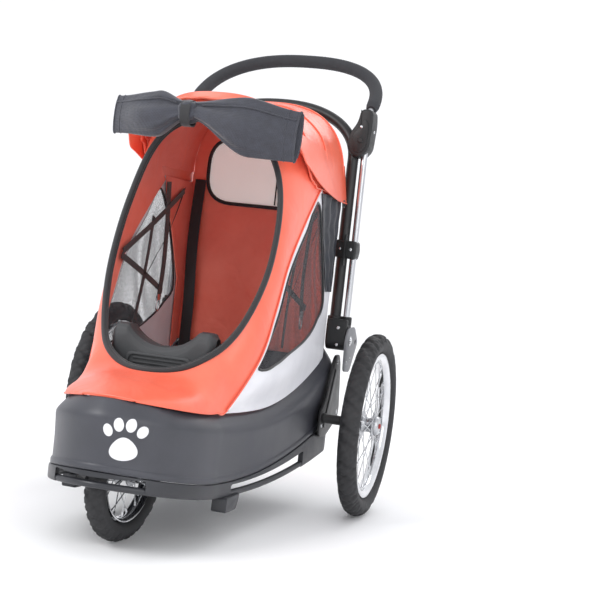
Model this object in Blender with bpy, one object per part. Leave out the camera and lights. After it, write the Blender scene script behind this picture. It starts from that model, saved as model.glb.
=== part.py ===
"""Three-wheeled pet stroller: moulded tub, folding handle frame, fabric cabin and spoked wheels.

Y is measured from the rear axle while building, with the front towards -Y, and the whole
object is moved along Y at the end so that the origin sits under the middle of its box.
"""
import math

import bmesh
import bpy
from mathutils import Matrix, Vector

# ---- driving dimensions, metres ----
SHIFT_Y = 0.2195          # rear axle to the middle of the bounding box
WALL = 0.005              # tub wall
CLOTH = 0.003             # fabric panels
GAP = 0.0004              # between touching pieces
NOSE_Y, NOSE_LEN, NOSE_HALF, NOSE_POWER = -0.735, 0.216, 0.154, 0.55
TUB_REAR, TUB_FLARE, TUB_CORNER = 0.100, 0.076, 0.040
FLOOR_Z, FLOOR_T = 0.200, 0.005
REAR_R, REAR_X, TYRE_R = 0.200, 0.308, 0.0215
FRONT_R, FRONT_TYRE_R = 0.120, 0.0195
FRONT_Y, FRONT_TRAIL, FRONT_HEADING = -0.584, 0.016, math.radians(6.5)
WELL_R, WELL_HALF, WELL_WALL = 0.1365, 0.075, 0.0035
DECK_Y = 0.050            # the tub is closed over behind this
PIVOT_Y, PIVOT_Z = 0.072, 0.372
UPRIGHT_X, UPRIGHT_R = 0.190, 0.0125
HANDLE_X, HANDLE_R = 0.215, 0.0075
GRIP_R, GRIP_BORE = 0.0155, 0.0080
LOOP_X, LOOP_Y, LOOP_Z, LOOP_LEN, LOOP_LEAN, LOOP_POWER = 0.211, 0.105, 0.897, 0.220, 0.94, 2.4
CABIN_X, CABIN_REAR = 0.178, 0.043
ARCH_BASE, ARCH_RISE, ARCH_POWER, ROOF_SLOPE = 0.684, 0.205, 2.7, 0.13
OVAL_X, OVAL_MID, OVAL_RISE, OVAL_POWER, BINDING_R = 0.163, 0.556, 0.246, 2.5, 0.006
FRONT_LINE = [(-0.706, 0.274), (-0.62, 0.293), (-0.545, 0.314), (-0.505, 0.350), (-0.470, 0.400),
              (-0.430, 0.470), (-0.392, 0.560), (-0.360, 0.660), (-0.338, 0.760), (-0.322, 0.860)]

COLOURS = {
    "tub_plastic": (0.075, 0.080, 0.095), "bumper_plastic": (0.045, 0.048, 0.055),
    "coated_fabric": (0.93, 0.22, 0.13), "mesh_fabric": (0.06, 0.06, 0.075),
    "white_fabric": (0.78, 0.78, 0.82), "black_webbing": (0.02, 0.02, 0.022),
    "cushion_fabric": (0.035, 0.035, 0.04), "chin_plastic": (0.06, 0.06, 0.065),
    "frame_paint": (0.02, 0.02, 0.022), "silver_tube": (0.72, 0.72, 0.74),
    "grey_plate": (0.35, 0.35, 0.36), "black_plastic": (0.015, 0.015, 0.016),
    "foam": (0.035, 0.035, 0.037), "tyre_rubber": (0.05, 0.05, 0.052),
    "rim_alloy": (0.78, 0.78, 0.80), "hub_alloy": (0.55, 0.55, 0.57), "button_red": (0.6, 0.04, 0.03),
}
PARTS, CUTTERS, MATERIALS = None, None, {}


# ---- scene helpers ----
def clear():
    for obj in list(bpy.data.objects):
        bpy.data.objects.remove(obj)
    for col in list(bpy.data.collections):
        bpy.data.collections.remove(col)


def collection(name):
    col = bpy.data.collections.new(name)
    bpy.context.scene.collection.children.link(col)
    return col


def material(name):
    if name not in MATERIALS:
        mat = bpy.data.materials.new(name)
        mat.use_nodes = True
        shader = mat.node_tree.nodes["Principled BSDF"]
        shader.inputs["Base Color"].default_value = (*COLOURS[name], 1)
        shader.inputs["Roughness"].default_value = 0.5
        shader.inputs["Metallic"].default_value = 1.0 if name in ("silver_tube", "rim_alloy", "hub_alloy") else 0.0
        MATERIALS[name] = mat
    return MATERIALS[name]


def mesh_from(bm, name, mat=None, cutter=False):
    bmesh.ops.remove_doubles(bm, verts=bm.verts, dist=1e-6)
    bmesh.ops.recalc_face_normals(bm, faces=bm.faces)
    mesh = bpy.data.meshes.new(name)
    bm.to_mesh(mesh)
    bm.free()
    obj = bpy.data.objects.new(name, mesh)
    if mat:
        mesh.materials.append(material(mat))
    (CUTTERS if cutter else PARTS).objects.link(obj)
    if cutter:
        obj.hide_render = True
        obj.display_type = "WIRE"
    return obj


def bake(obj):
    """Turn a curve or an object with modifiers into a plain welded mesh."""
    deps = bpy.context.evaluated_depsgraph_get()
    fresh = bpy.data.meshes.new_from_object(obj.evaluated_get(deps))
    bm = bmesh.new()
    bm.from_mesh(fresh)
    bmesh.ops.remove_doubles(bm, verts=bm.verts, dist=1e-6)
    bmesh.ops.recalc_face_normals(bm, faces=bm.faces)
    bm.to_mesh(fresh)
    bm.free()
    name, col, world = obj.name, obj.users_collection[0], obj.matrix_world.copy()
    hidden = obj.hide_render
    bpy.data.objects.remove(obj)
    new = bpy.data.objects.new(name, fresh)
    col.objects.link(new)
    new.matrix_world = world
    new.hide_render = hidden
    if hidden:
        new.display_type = "WIRE"
    return new


def combine(obj, others, how="DIFFERENCE"):
    for other in others if isinstance(others, (list, tuple)) else [others]:
        mod = obj.modifiers.new("bool", "BOOLEAN")
        mod.operation, mod.solver, mod.object = how, "EXACT", other
        obj = bake(obj)
    return obj


def curve_object(name, points, mat, cutter, cyclic=False, flat=False):
    curve = bpy.data.curves.new(name, "CURVE")
    curve.dimensions = "2D" if flat else "3D"
    spline = curve.splines.new("POLY")
    spline.points.add(len(points) - 1)
    for slot, point in zip(spline.points, points):
        slot.co = (*point, 0, 1) if flat else (*point, 1)
    spline.use_cyclic_u = cyclic
    obj = bpy.data.objects.new(name, curve)
    if mat:
        curve.materials.append(material(mat))
    (CUTTERS if cutter else PARTS).objects.link(obj)
    if cutter:
        obj.hide_render = True
    return obj


def prism(name, outline, low, high, plane="XY", mat=None, cutter=False):
    """Fill a flat outline and extrude it between two distances along the plane's normal."""
    obj = curve_object(name, outline, mat, cutter, cyclic=True, flat=True)
    obj.data.fill_mode = "BOTH"
    obj.data.extrude = (high - low) / 2
    turn = {"XY": Matrix(), "XZ": Matrix.Rotation(math.pi / 2, 4, "X"),
            "YZ": Matrix(((0, 0, 1, 0), (1, 0, 0, 0), (0, 1, 0, 0), (0, 0, 0, 1)))}[plane]
    middle = (low + high) / 2 * (-1 if plane == "XZ" else 1)
    obj.data.transform(turn @ Matrix.Translation((0, 0, 0)))
    obj.data.transform(Matrix())
    obj.matrix_world = turn @ Matrix.Translation((0, 0, middle))
    obj.data.transform(turn.inverted())
    obj = bake(obj)
    obj.data.transform(obj.matrix_world)
    obj.matrix_world = Matrix()
    return obj


def tube(name, points, radius, mat=None, cutter=False, cyclic=False, sides=2):
    obj = curve_object(name, points, mat, cutter, cyclic)
    obj.data.bevel_depth, obj.data.bevel_resolution, obj.data.use_fill_caps = radius, sides, not cyclic
    return bake(obj)


def box(name, low, high, mat=None, cutter=False, bevel=0.0):
    bm = bmesh.new()
    size = [b - a for a, b in zip(low, high)]
    centre = Vector([(a + b) / 2 for a, b in zip(low, high)])
    bmesh.ops.create_cube(bm, size=1, matrix=Matrix.Translation(centre) @ Matrix.Diagonal((*size, 1)))
    if bevel:
        bmesh.ops.bevel(bm, geom=bm.edges[:], offset=bevel, segments=2, profile=0.5, affect="EDGES")
    return mesh_from(bm, name, mat, cutter)


def rod(name, start, end, radius, mat=None, cutter=False, segments=24):
    start, end = Vector(start), Vector(end)
    turn = (end - start).to_track_quat("Z", "Y").to_matrix().to_4x4()
    bm = bmesh.new()
    bmesh.ops.create_cone(bm, cap_ends=True, segments=segments, radius1=radius, radius2=radius,
                          depth=(end - start).length, matrix=Matrix.Translation((start + end) / 2) @ turn)
    return mesh_from(bm, name, mat, cutter)


def lathe(name, profile, mat, centre, segments=48, turn=Matrix()):
    """Spin (radius, offset) points about X through the centre, as one closed ring or plug."""
    bm = bmesh.new()
    loop = [bm.verts.new((x, r, 0)) for r, x in profile]
    closed = all(r > 1e-6 for r, _ in profile)
    edges = [bm.edges.new((loop[i], loop[i + 1])) for i in range(len(loop) - 1)]
    if closed:
        edges.append(bm.edges.new((loop[-1], loop[0])))
    bmesh.ops.spin(bm, geom=loop + edges, axis=(1, 0, 0), cent=(0, 0, 0), angle=2 * math.pi,
                   steps=segments, use_merge=False)
    obj = mesh_from(bm, name, mat)
    obj.data.transform(Matrix.Translation(centre) @ turn)
    return obj


# ---- shape functions ----
def tub_half(y):
    if y < NOSE_Y + NOSE_LEN:
        t = (NOSE_Y + NOSE_LEN - y) / NOSE_LEN
        return NOSE_HALF * max(1 - t * t, 0) ** NOSE_POWER
    return NOSE_HALF + TUB_FLARE * (y - NOSE_Y - NOSE_LEN)


def rim_z(y):
    return 0.236 + (0.22 if y < -0.33 else 0.66) * (y + 0.33) ** 2


def seam_z(y):
    return 0.116 + 0.318 * (y + 0.413) ** 2


def bumper_z(y):
    return 0.084 + 0.22 * (y + 0.33) ** 2


def spaced(low, high, count):
    return [low + (high - low) * i / (count - 1) for i in range(count)]


def tub_outline(inset):
    """Plan of the tub, moved inwards by the inset."""
    front = [NOSE_Y + NOSE_LEN * (1 - math.cos(a)) for a in spaced(0, math.pi / 2, 12)]
    right = [(tub_half(y), y) for y in front + [-0.36, -0.20, 0.0]]
    corner = TUB_REAR - TUB_CORNER
    half = tub_half(corner)
    right += [(half - TUB_CORNER * (1 - math.cos(a)), corner + TUB_CORNER * math.sin(a))
              for a in spaced(0, math.pi / 2, 5)]
    return offset_outline(mirrored(right), inset)


def mirrored(right):
    return right + [(-x, y) for x, y in reversed(right) if x > 1e-9]


def offset_outline(points, inset):
    if not inset:
        return points
    moved, count = [], len(points)
    for i, (x, y) in enumerate(points):
        (ax, ay), (bx, by) = points[i - 1], points[(i + 1) % count]
        length = math.hypot(bx - ax, by - ay)
        moved.append((x - (by - ay) / length * inset, y + (bx - ax) / length * inset))
    return moved


def cabin_outline(inset):
    front = [NOSE_Y + 0.004 + NOSE_LEN * (1 - math.cos(a)) for a in spaced(0, 1.35, 10)]
    right = [(max(tub_half(y - 0.004) - 0.003, 0), y) for y in front]
    right += [(0.158, -0.515), (0.168, -0.470), (CABIN_X - 0.003, -0.425), (CABIN_X, -0.38)]
    right += [(CABIN_X, CABIN_REAR)]
    points = offset_outline(mirrored(right), inset)
    return [(x, min(y, CABIN_REAR - inset)) for x, y in points]


def between(line, z):
    for (y0, z0), (y1, z1) in zip(line, line[1:]):
        if z <= z1:
            break
    return y0 + (y1 - y0) * (z - z0) / (z1 - z0)


def half_ellipse(half, rise, power, count):
    """Upper half of a rounded arch, from +half to -half."""
    points = []
    for angle in spaced(0, math.pi, count):
        c, s = math.cos(angle), math.sin(angle)
        points.append((math.copysign(abs(c) ** (2 / power), c) * half, abs(s) ** (2 / power) * rise))
    return points


def side_profile(line, low, drop=0.0):
    """YZ outline of the cabin from its front line, with the underside at the tub's rim."""
    rear = CABIN_REAR + 0.001
    under = [(y, rim_z(y) + 0.003 if not drop else drop) for y in spaced(rear, line[0][0], 16)]
    return [(y, z) for y, z in line] + [(rear, 1.0)] + under


# ---- tub and bumper ----
def build_tub():
    tub = prism("tub_shell", tub_outline(0), 0.10, 0.45, mat="tub_plastic")
    ys = spaced(-0.80, 0.16, 25)
    above = [(y, rim_z(y)) for y in ys] + [(0.16, 0.6), (-0.80, 0.6)]
    below = [(y, seam_z(y)) for y in ys] + [(0.16, 0.0), (-0.80, 0.0)]
    upper = prism("cut_upper", tub_outline(WALL), FLOOR_Z + FLOOR_T, 0.5, cutter=True)
    deck = box("cut_deck", (-0.3, DECK_Y, 0.0), (0.3, 0.2, 0.6), cutter=True)
    upper = combine(upper, [well_drum("cut_hump", WELL_R + WELL_WALL, WELL_HALF + WELL_WALL), deck])
    lower = prism("cut_lower", tub_outline(WALL), 0.0, FLOOR_Z, cutter=True)
    rear = prism("cut_rear_hollow", tub_outline(WALL + 0.001), 0.19, 0.322, cutter=True)
    ahead = box("cut_ahead", (-0.3, -0.9, -0.1), (0.3, DECK_Y + WALL, 0.6), cutter=True)
    rear = combine(rear, ahead)
    inner = prism("cut_inner", tub_outline(WALL), 0.195, 0.5, cutter=True)
    well = combine(well_drum("cut_well", WELL_R, WELL_HALF), inner, "INTERSECT")
    inside = prism("join_inside", tub_outline(0.002), 0.21, 0.5, cutter=True)
    hump = well_drum("join_hump", WELL_R + WELL_WALL + GAP, WELL_HALF + WELL_WALL + GAP)
    hump = combine(hump, inside, "INTERSECT")
    stem_y = FRONT_Y + FRONT_TRAIL
    stem = rod("cut_stem", (0, stem_y, 0.2), (0, stem_y, 0.3), 0.0096, cutter=True)
    trims = [prism("cut_above", above, -0.4, 0.4, "YZ", cutter=True),
             prism("cut_below", below, -0.4, 0.4, "YZ", cutter=True)]
    tub = combine(tub, trims + [upper, lower, rear])
    return combine(combine(tub, hump, "UNION"), [well, stem])


def well_drum(name, radius, half):
    y = FRONT_Y + 0.006
    return rod(name, (-half, y, FRONT_R), (half, y, FRONT_R), radius, cutter=True, segments=64)


def build_bumper():
    ring = prism("bumper_ring", tub_outline(-0.002), 0.06, 0.30, mat="bumper_plastic")
    ys = spaced(-0.80, 0.16, 25)
    above = [(y, seam_z(y) - GAP) for y in ys] + [(0.16, 0.6), (-0.80, 0.6)]
    below = [(y, bumper_z(y)) for y in ys] + [(0.16, 0.0), (-0.80, 0.0)]
    cuts = [prism("cut_ring_top", above, -0.4, 0.4, "YZ", cutter=True),
            prism("cut_ring_low", below, -0.4, 0.4, "YZ", cutter=True),
            prism("cut_ring_in", tub_outline(0.009), 0.0, 0.5, cutter=True)]
    slot = spaced(-0.455, -0.08, 12)
    middle = [(y, (seam_z(y) + bumper_z(y)) / 2) for y in slot]
    rise = 0.011
    outline = [(y, z - rise) for y, z in middle] + [(y, z + rise) for y, z in reversed(middle)]
    cuts.append(prism("cut_side_slot", outline, -0.4, 0.4, "YZ", cutter=True))
    cuts.append(box("cut_front_slot", (-0.075, -0.80, 0.126), (0.075, -0.60, 0.139), cutter=True))
    ring = combine(ring, cuts)
    for side, name in ((-1, "foot_left"), (1, "foot_right")):
        low, high = sorted((side * 0.137, side * 0.167))
        box(name, (low, -0.483, 0.062), (high, -0.432, 0.0857), "bumper_plastic", bevel=0.004)
    return ring


def build_inside():
    cushion = prism("floor_cushion", tub_outline(0.012), 0.2056, 0.236, mat="cushion_fabric")
    ends = [box("cut_cushion_front", (-0.3, -0.9, 0.1), (0.3, -0.425, 0.4), cutter=True),
            box("cut_cushion_rear", (-0.3, DECK_Y - 0.005, 0.1), (0.3, 0.2, 0.4), cutter=True)]
    combine(cushion, ends)
    rest = box("chin_rest", (-0.105, -0.488, 0.262), (0.105, -0.428, 0.388), "chin_plastic", bevel=0.008)
    scoop = rod("cut_scoop", (0, -0.6, 0.442), (0, -0.3, 0.442), 0.090, cutter=True, segments=48)
    hollow = box("cut_hollow", (-0.100, -0.483, 0.20), (0.100, -0.433, 0.325), cutter=True)
    combine(rest, [scoop, hollow])


# ---- cabin fabric ----
def cabin_volume(name, inset, mat=None):
    body = prism(name, cabin_outline(inset), 0.18 if inset else 0.2, 1.0, mat=mat, cutter=mat is None)
    line = [(y + inset * 1.25, z) for y, z in FRONT_LINE]
    if inset:
        line = [(line[0][0], 0.15)] + line
    profile = side_profile(line, 0, 0.15 if inset else 0.0)
    body = combine(body, prism("cut_side", profile, -0.4, 0.4, "YZ", cutter=True), "INTERSECT")
    half, rise = CABIN_X + 0.0015 - inset, ARCH_RISE - inset
    arch = [(half, 0.1)] + [(x, ARCH_BASE + z) for x, z in half_ellipse(half, rise, ARCH_POWER, 25)]
    arch += [(-half, 0.1)]
    roof = prism("cut_arch", arch, -0.9, 0.2, "XZ", cutter=True)
    shear = Matrix()
    shear[2][1], shear[2][3] = ROOF_SLOPE, -ROOF_SLOPE * CABIN_REAR
    for vert in roof.data.vertices:
        if vert.co.z > 0.2:
            vert.co = shear @ vert.co
    return combine(body, roof, "INTERSECT")


def region(name, points, low=-0.4, high=0.4):
    return prism(name, points, low, high, "YZ", cutter=True)


def build_cabin():
    shell = combine(cabin_volume("cabin_shell", 0), cabin_volume("cabin_core", CLOTH))
    back = 0.0038
    ahead = [(y - 0.05, z) for y, z in FRONT_LINE]
    face = [(y + back, z) for y, z in FRONT_LINE]
    roof_low = [(0.2, ARCH_BASE), (-0.15, ARCH_BASE), (-0.27, 0.762), (-0.310, 0.822), (-0.50, 0.824)]
    front = region("cut_front", [(-0.9, 0.2)] + ahead[:1] + ahead[1:] + face[::-1] + [(face[0][0], 0.2)])
    rear_z = CABIN_REAR - 0.0035
    roof_zone = region("cut_roof", roof_low + [(-0.50, 1.1), (0.2, 1.1)])
    grown = region("cut_roof_grown", [(y, z - GAP) for y, z in roof_low] + [(-0.50, 1.1), (0.2, 1.1)])
    middle = [(y + GAP, z) for y, z in face]
    sides = region("cut_sides", [(middle[0][0], 0.2)] + middle + [(rear_z - GAP, 1.0), (rear_z - GAP, 0.2)])
    rear = region("cut_rear", [(rear_z, 0.2), (0.3, 0.2), (0.3, 1.1), (rear_z, 1.1)])
    window = [(-0.385, 0.345), (-0.17, 0.672), (0.030, 0.672), (0.030, 0.500), (-0.06, 0.425), (-0.20, 0.372)]
    slim = shrunk(window, 0.990)
    pieces = {"cabin_front": ([front], [grown], "coated_fabric"),
              "canopy": ([roof_zone], [], "coated_fabric"),
              "back_panel": ([rear], [grown], "white_fabric")}
    for name, (keep, drop, mat) in pieces.items():
        cut_piece(name, shell, keep, drop, mat)
    for side, word in ((-1, "left"), (1, "right")):
        low, high = sorted((side * 0.01, side * 0.4))
        glass = region("cut_window_" + word, window, low, high)
        pane = region("cut_pane_" + word, slim, low, high)
        half = region("cut_half_" + word, [(-0.9, 0.1), (0.3, 0.1), (0.3, 1.1), (-0.9, 1.1)], low, high)
        cut_piece("side_panel_" + word, shell, [sides, half], [grown, glass], "white_fabric")
        cut_piece("side_window_" + word, shell, [sides, half, pane], [grown], "mesh_fabric")
    bpy.data.objects.remove(shell)
    oval = [(x, OVAL_MID + z) for x, z in oval_points(BINDING_R + 0.0006, 48)]
    combine(bpy.data.objects["cabin_front"], prism("cut_oval", oval, -0.80, -0.20, "XZ", cutter=True))
    path = [(x, between(FRONT_LINE, OVAL_MID + z) + 0.0015, OVAL_MID + z) for x, z in oval_points(0, 56)]
    tube("opening_binding", path, BINDING_R - 0.0004, "black_webbing", cyclic=True, sides=1)


def shrunk(points, scale):
    mid = [sum(p[i] for p in points) / len(points) for i in (0, 1)]
    return [(mid[0] + (y - mid[0]) * scale, mid[1] + (z - mid[1]) * scale) for y, z in points]


def oval_points(grow, count):
    points = []
    for i in range(count):
        c, s = math.cos(2 * math.pi * i / count), math.sin(2 * math.pi * i / count)
        points.append((math.copysign(abs(c) ** (2 / OVAL_POWER), c) * (OVAL_X + grow),
                       math.copysign(abs(s) ** (2 / OVAL_POWER), s) * (OVAL_RISE + grow)))
    return points


def cut_piece(name, shell, keep, drop, mat):
    piece = bpy.data.objects.new(name, shell.data.copy())
    PARTS.objects.link(piece)
    piece = combine(combine(piece, keep, "INTERSECT"), drop)
    piece.data.materials.clear()
    piece.data.materials.append(material(mat))
    return piece


def build_soft_trim():
    across = [(x, -0.372, 0.812 - 1.3 * x * x) for x in spaced(-0.165, 0.165, 9)]
    tube("door_roll", across, 0.027, "mesh_fabric", sides=3)
    ring = [(0, -0.372 + 0.0295 * math.cos(a), 0.812 + 0.0295 * math.sin(a))
            for a in spaced(0, 2 * math.pi, 25)[:-1]]
    tube("roll_tie", ring, 0.0018, "black_webbing", cyclic=True, sides=1)
    for side, word in ((-1, "left"), (1, "right")):
        low, high = sorted((side * 0.1685, side * 0.1705))
        box("tether_strap_" + word, (low, -0.135, 0.425), (high, -0.110, 0.680), "black_webbing")
        loop = [(side * 0.1695, -0.1225 + 0.012 * math.cos(a), 0.409 + 0.012 * math.sin(a))
                for a in spaced(0, 2 * math.pi, 17)[:-1]]
        tube("tether_hook_" + word, loop, 0.0018, "hub_alloy", cyclic=True, sides=1)


# ---- frame ----
def loop_points(start=0.0):
    points = []
    for x, along in half_ellipse(-LOOP_X, LOOP_LEN, LOOP_POWER, 33):
        points.append((x, LOOP_Y + along * math.sin(LOOP_LEAN), LOOP_Z + along * math.cos(LOOP_LEAN)))
    return points


def handle_path():
    leg = [(HANDLE_X, PIVOT_Y + 0.003, 0.4205), (HANDLE_X, PIVOT_Y + 0.001, 0.740),
           (HANDLE_X - 0.001, PIVOT_Y + 0.005, 0.785), (HANDLE_X - 0.003, PIVOT_Y + 0.017, 0.850)]
    left = [(-x, y, z) for x, y, z in leg]
    return left + loop_points() + leg[::-1]


def upright_path():
    base, rise = 0.770, 0.125
    leg = [(UPRIGHT_X, PIVOT_Y, 0.4205), (UPRIGHT_X, PIVOT_Y, 0.700)]
    top = [(x, PIVOT_Y + 0.028 * z / rise, base + z) for x, z in half_ellipse(-UPRIGHT_X, rise, 2.3, 25)]
    return [(-x, y, z) for x, y, z in leg] + top + leg[::-1]


def build_frame():
    tube("upright_arch", upright_path(), UPRIGHT_R, "frame_paint")
    tube("handle_tube", handle_path(), HANDLE_R, "silver_tube")
    grip = tube("handle_grip", loop_points(), GRIP_R, "foam")
    ends = loop_points()
    bore = tube("cut_grip", [(-LOOP_X, LOOP_Y - 0.004, LOOP_Z - 0.02)] + ends
                + [(LOOP_X, LOOP_Y - 0.004, LOOP_Z - 0.02)], GRIP_BORE, cutter=True)
    combine(grip, bore)
    legs = [tube("cut_uprights", upright_path(), UPRIGHT_R + GAP, cutter=True),
            tube("cut_handles", handle_path(), HANDLE_R + GAP, cutter=True),
            tube("cut_grip_ends", loop_points(), GRIP_R + GAP, cutter=True)]
    for side, word in ((-1, "left"), (1, "right")):
        build_clips(side, word, legs)
        build_fold(side, word)


def build_clips(side, word, legs):
    shape = [(0.188, 0.790), (0.205, 0.783), (0.224, 0.800), (0.2285, 0.860), (0.2265, 0.892),
             (0.201, 0.892), (0.196, 0.862), (0.180, 0.838), (0.176, 0.806)]
    outline = [(side * x, z) for x, z in shape]
    housing = prism("housing_" + word, outline, 0.056, 0.112, "XZ", mat="black_plastic")
    drop = tube("cut_housing_" + word, [(side * x, y, z) for x, y, z in upright_path()], UPRIGHT_R + GAP,
                cutter=True)
    combine(housing, [drop] + legs[1:])
    low, high = sorted((side * 0.1765, side * 0.2245))
    clip = box("mid_clip_" + word, (low, 0.054, 0.556), (high, 0.094, 0.596), "black_plastic", bevel=0.003)
    combine(clip, legs[:2])


def build_fold(side, word):
    turn = [(PIVOT_Y + 0.023 * math.cos(a), PIVOT_Z + 0.023 * math.sin(a))
            for a in spaced(math.pi, 2 * math.pi, 13)]
    low, high = sorted((side * 0.1765, side * 0.2240))
    outline = turn + [(PIVOT_Y + 0.023, 0.412), (PIVOT_Y + 0.016, 0.420), (PIVOT_Y - 0.016, 0.420),
                      (PIVOT_Y - 0.023, 0.412)]
    bracket = prism("lower_bracket_" + word, outline, low, high, "YZ", mat="black_plastic")
    bore = rod("cut_pivot_" + word, (side * 0.15, PIVOT_Y, PIVOT_Z), (side * 0.24, PIVOT_Y, PIVOT_Z), 0.0046,
               cutter=True)
    combine(bracket, bore)
    low, high = sorted((side * 0.2255, side * 0.2295))
    triangle = [(0.045, 0.304), (0.098, 0.300), (0.152, 0.368), (0.110, 0.404), (0.050, 0.400), (0.036, 0.372)]
    plate = prism("fold_plate_" + word, triangle, low, high, "YZ", mat="grey_plate")
    pin = rod("join_pin_" + word, (side * 0.182, PIVOT_Y, PIVOT_Z), (side * 0.227, PIVOT_Y, PIVOT_Z), 0.0040,
              cutter=True)
    boss = rod("join_boss_" + word, (side * 0.2069, 0.070, 0.318), (side * 0.227, 0.070, 0.318), 0.010,
               cutter=True)
    combine(plate, [pin, boss], "UNION")
    low, high = sorted((side * 0.2015, side * 0.2065))
    edge = [(-0.030, 0.170), (-0.014, 0.160), (0.030, 0.156), (0.128, 0.190), (0.134, 0.212), (0.104, 0.318),
            (0.088, 0.338), (0.058, 0.338), (0.040, 0.322), (0.012, 0.245), (-0.026, 0.215)]
    arm = prism("axle_plate_" + word, edge, low, high, "YZ", mat="frame_paint")
    ends = sorted((side * 0.2069, side * 0.2680))
    stub = rod("axle_stub_" + word, (ends[0], 0, REAR_R), (ends[1], 0, REAR_R), 0.0115, "frame_paint")
    hole = rod("cut_stub_" + word, (side * 0.215, 0, REAR_R), (side * 0.30, 0, REAR_R), 0.0072, cutter=True)
    combine(stub, hole)
    return arm


def build_brake():
    rod("rear_cross_tube", (-0.2011, 0.118, 0.205), (0.2011, 0.118, 0.205), 0.009, "frame_paint")
    pedal = box("brake_pedal", (-0.045, 0.131, 0.186), (0.045, 0.185, 0.192), "black_plastic", bevel=0.002)
    barrel = rod("join_barrel", (-0.020, 0.118, 0.205), (0.020, 0.118, 0.205), 0.015, cutter=True)
    arm = box("join_arm", (-0.018, 0.118, 0.1905), (0.018, 0.140, 0.1955), cutter=True)
    bore = rod("cut_barrel", (-0.1, 0.118, 0.205), (0.1, 0.118, 0.205), 0.0094, cutter=True)
    pedal = combine(pedal, [arm, barrel], "UNION")
    combine(pedal, bore)


# ---- wheels ----
def ring_profile(radius, half_width, count):
    return [(radius + half_width * math.cos(a), half_width * math.sin(a))
            for a in spaced(0, 2 * math.pi, count + 1)[:-1]]


def spoke_rods(name, centre, turn, radius, reach, count):
    rods = []
    for i in range(count):
        angle = 2 * math.pi * i / count
        way = Vector((0, math.cos(angle), math.sin(angle)))
        lean = 0.012 if i % 2 else -0.012
        ends = [Vector((lean, 0, 0)) + way * radius, Vector((lean * 0.2, 0, 0)) + way * reach]
        ends = [Vector(centre) + (turn @ e) for e in ends]
        rods.append(rod("join_%s_spoke_%d" % (name, i), ends[0], ends[1], 0.0015, cutter=True, segments=6))
    return rods


def build_rear_wheel(side, word):
    centre = (side * REAR_X, 0, REAR_R)
    lathe("rear_tyre_" + word, ring_profile(REAR_R - TYRE_R, TYRE_R, 12), "tyre_rubber", centre)
    rim = [(0.1366, -0.006), (0.1366, 0.006), (0.146, 0.0145), (0.1566, 0.0145), (0.1566, -0.0145),
           (0.146, -0.0145)]
    lathe("rear_rim_" + word, [(r, side * x) for r, x in rim], "rim_alloy", centre)
    hub = [(0, -0.088), (0.0064, -0.088), (0.0064, -0.036), (0.016, -0.034), (0.016, -0.012),
           (0.021, -0.010), (0.021, 0.012), (0.016, 0.014), (0.0135, 0.024), (0.0062, 0.025), (0.0062, 0.012),
           (0, 0.012)]
    hub = lathe("rear_hub_" + word, [(r, side * x) for r, x in hub], "hub_alloy", centre, 24)
    combine(hub, spoke_rods("rear_" + word, centre, Matrix(), 0.012, 0.1360, 12), "UNION")
    low, high = sorted((side * (REAR_X + 0.0160), side * (REAR_X + 0.0285)))
    rod("release_button_" + word, (low, 0, REAR_R), (high, 0, REAR_R), 0.0055, "button_red", segments=16)


def build_front_wheel():
    axis_y = FRONT_Y + FRONT_TRAIL * math.cos(FRONT_HEADING)
    turn = Matrix.Rotation(-FRONT_HEADING, 4, "Z")
    swivel = Matrix.Translation((0, axis_y, 0)) @ turn
    centre = swivel @ Vector((0, -FRONT_TRAIL, FRONT_R))
    profile = ring_profile(FRONT_R - FRONT_TYRE_R, FRONT_TYRE_R, 12)
    lathe("front_tyre", profile, "tyre_rubber", centre, 40, turn)
    rim = [(0.0740, -0.005), (0.0740, 0.005), (0.0775, 0.0135), (0.0806, 0.0135), (0.0806, -0.0135),
           (0.0775, -0.0135)]
    lathe("front_rim", rim, "rim_alloy", centre, 40, turn)
    hub = lathe("front_hub", [(0.0046, -0.0220), (0.012, -0.0220), (0.017, -0.012), (0.017, 0.012),
                              (0.012, 0.0220), (0.0046, 0.0220)], "hub_alloy", centre, 24, turn)
    combine(hub, spoke_rods("front", centre, turn.to_3x3(), 0.012, 0.0734, 10), "UNION")
    fork = box("front_fork", (-0.030, -0.034, 0.2430), (0.030, 0.013, 0.2466), "black_plastic")
    blades = [box("join_blade_%s" % x, (x - 0.0025, -0.028, FRONT_R - 0.016), (x + 0.0025, 0.002, 0.2450),
                  cutter=True) for x in (-0.0275, 0.0275)]
    axle = rod("join_axle", (-0.026, -FRONT_TRAIL, FRONT_R), (0.026, -FRONT_TRAIL, FRONT_R), 0.0040, cutter=True)
    stem = rod("join_stem", (0, 0, 0.2450), (0, 0, 0.2660), 0.0090, cutter=True)
    head = rod("join_head", (0, 0, 0.2616), (0, 0, 0.2680), 0.0150, cutter=True)
    fork = combine(fork, blades + [axle, stem, head], "UNION")
    fork.data.transform(swivel)
    return axis_y, centre


# ---- joints: origins and parents ----
def empty(name, location, parent=None):
    obj = bpy.data.objects.new(name, None)
    PARTS.objects.link(obj)
    obj.matrix_world = Matrix.Translation(location)
    if parent:
        adopt(parent, obj)
    return obj


def adopt(parent, child):
    bpy.context.view_layer.update()
    world = child.matrix_world.copy()
    child.parent = parent
    child.matrix_parent_inverse = parent.matrix_world.inverted()
    child.matrix_world = world


def recentre(name, point):
    obj = bpy.data.objects[name]
    obj.data.transform(Matrix.Translation(-Vector(point)))
    obj.location = point


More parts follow.
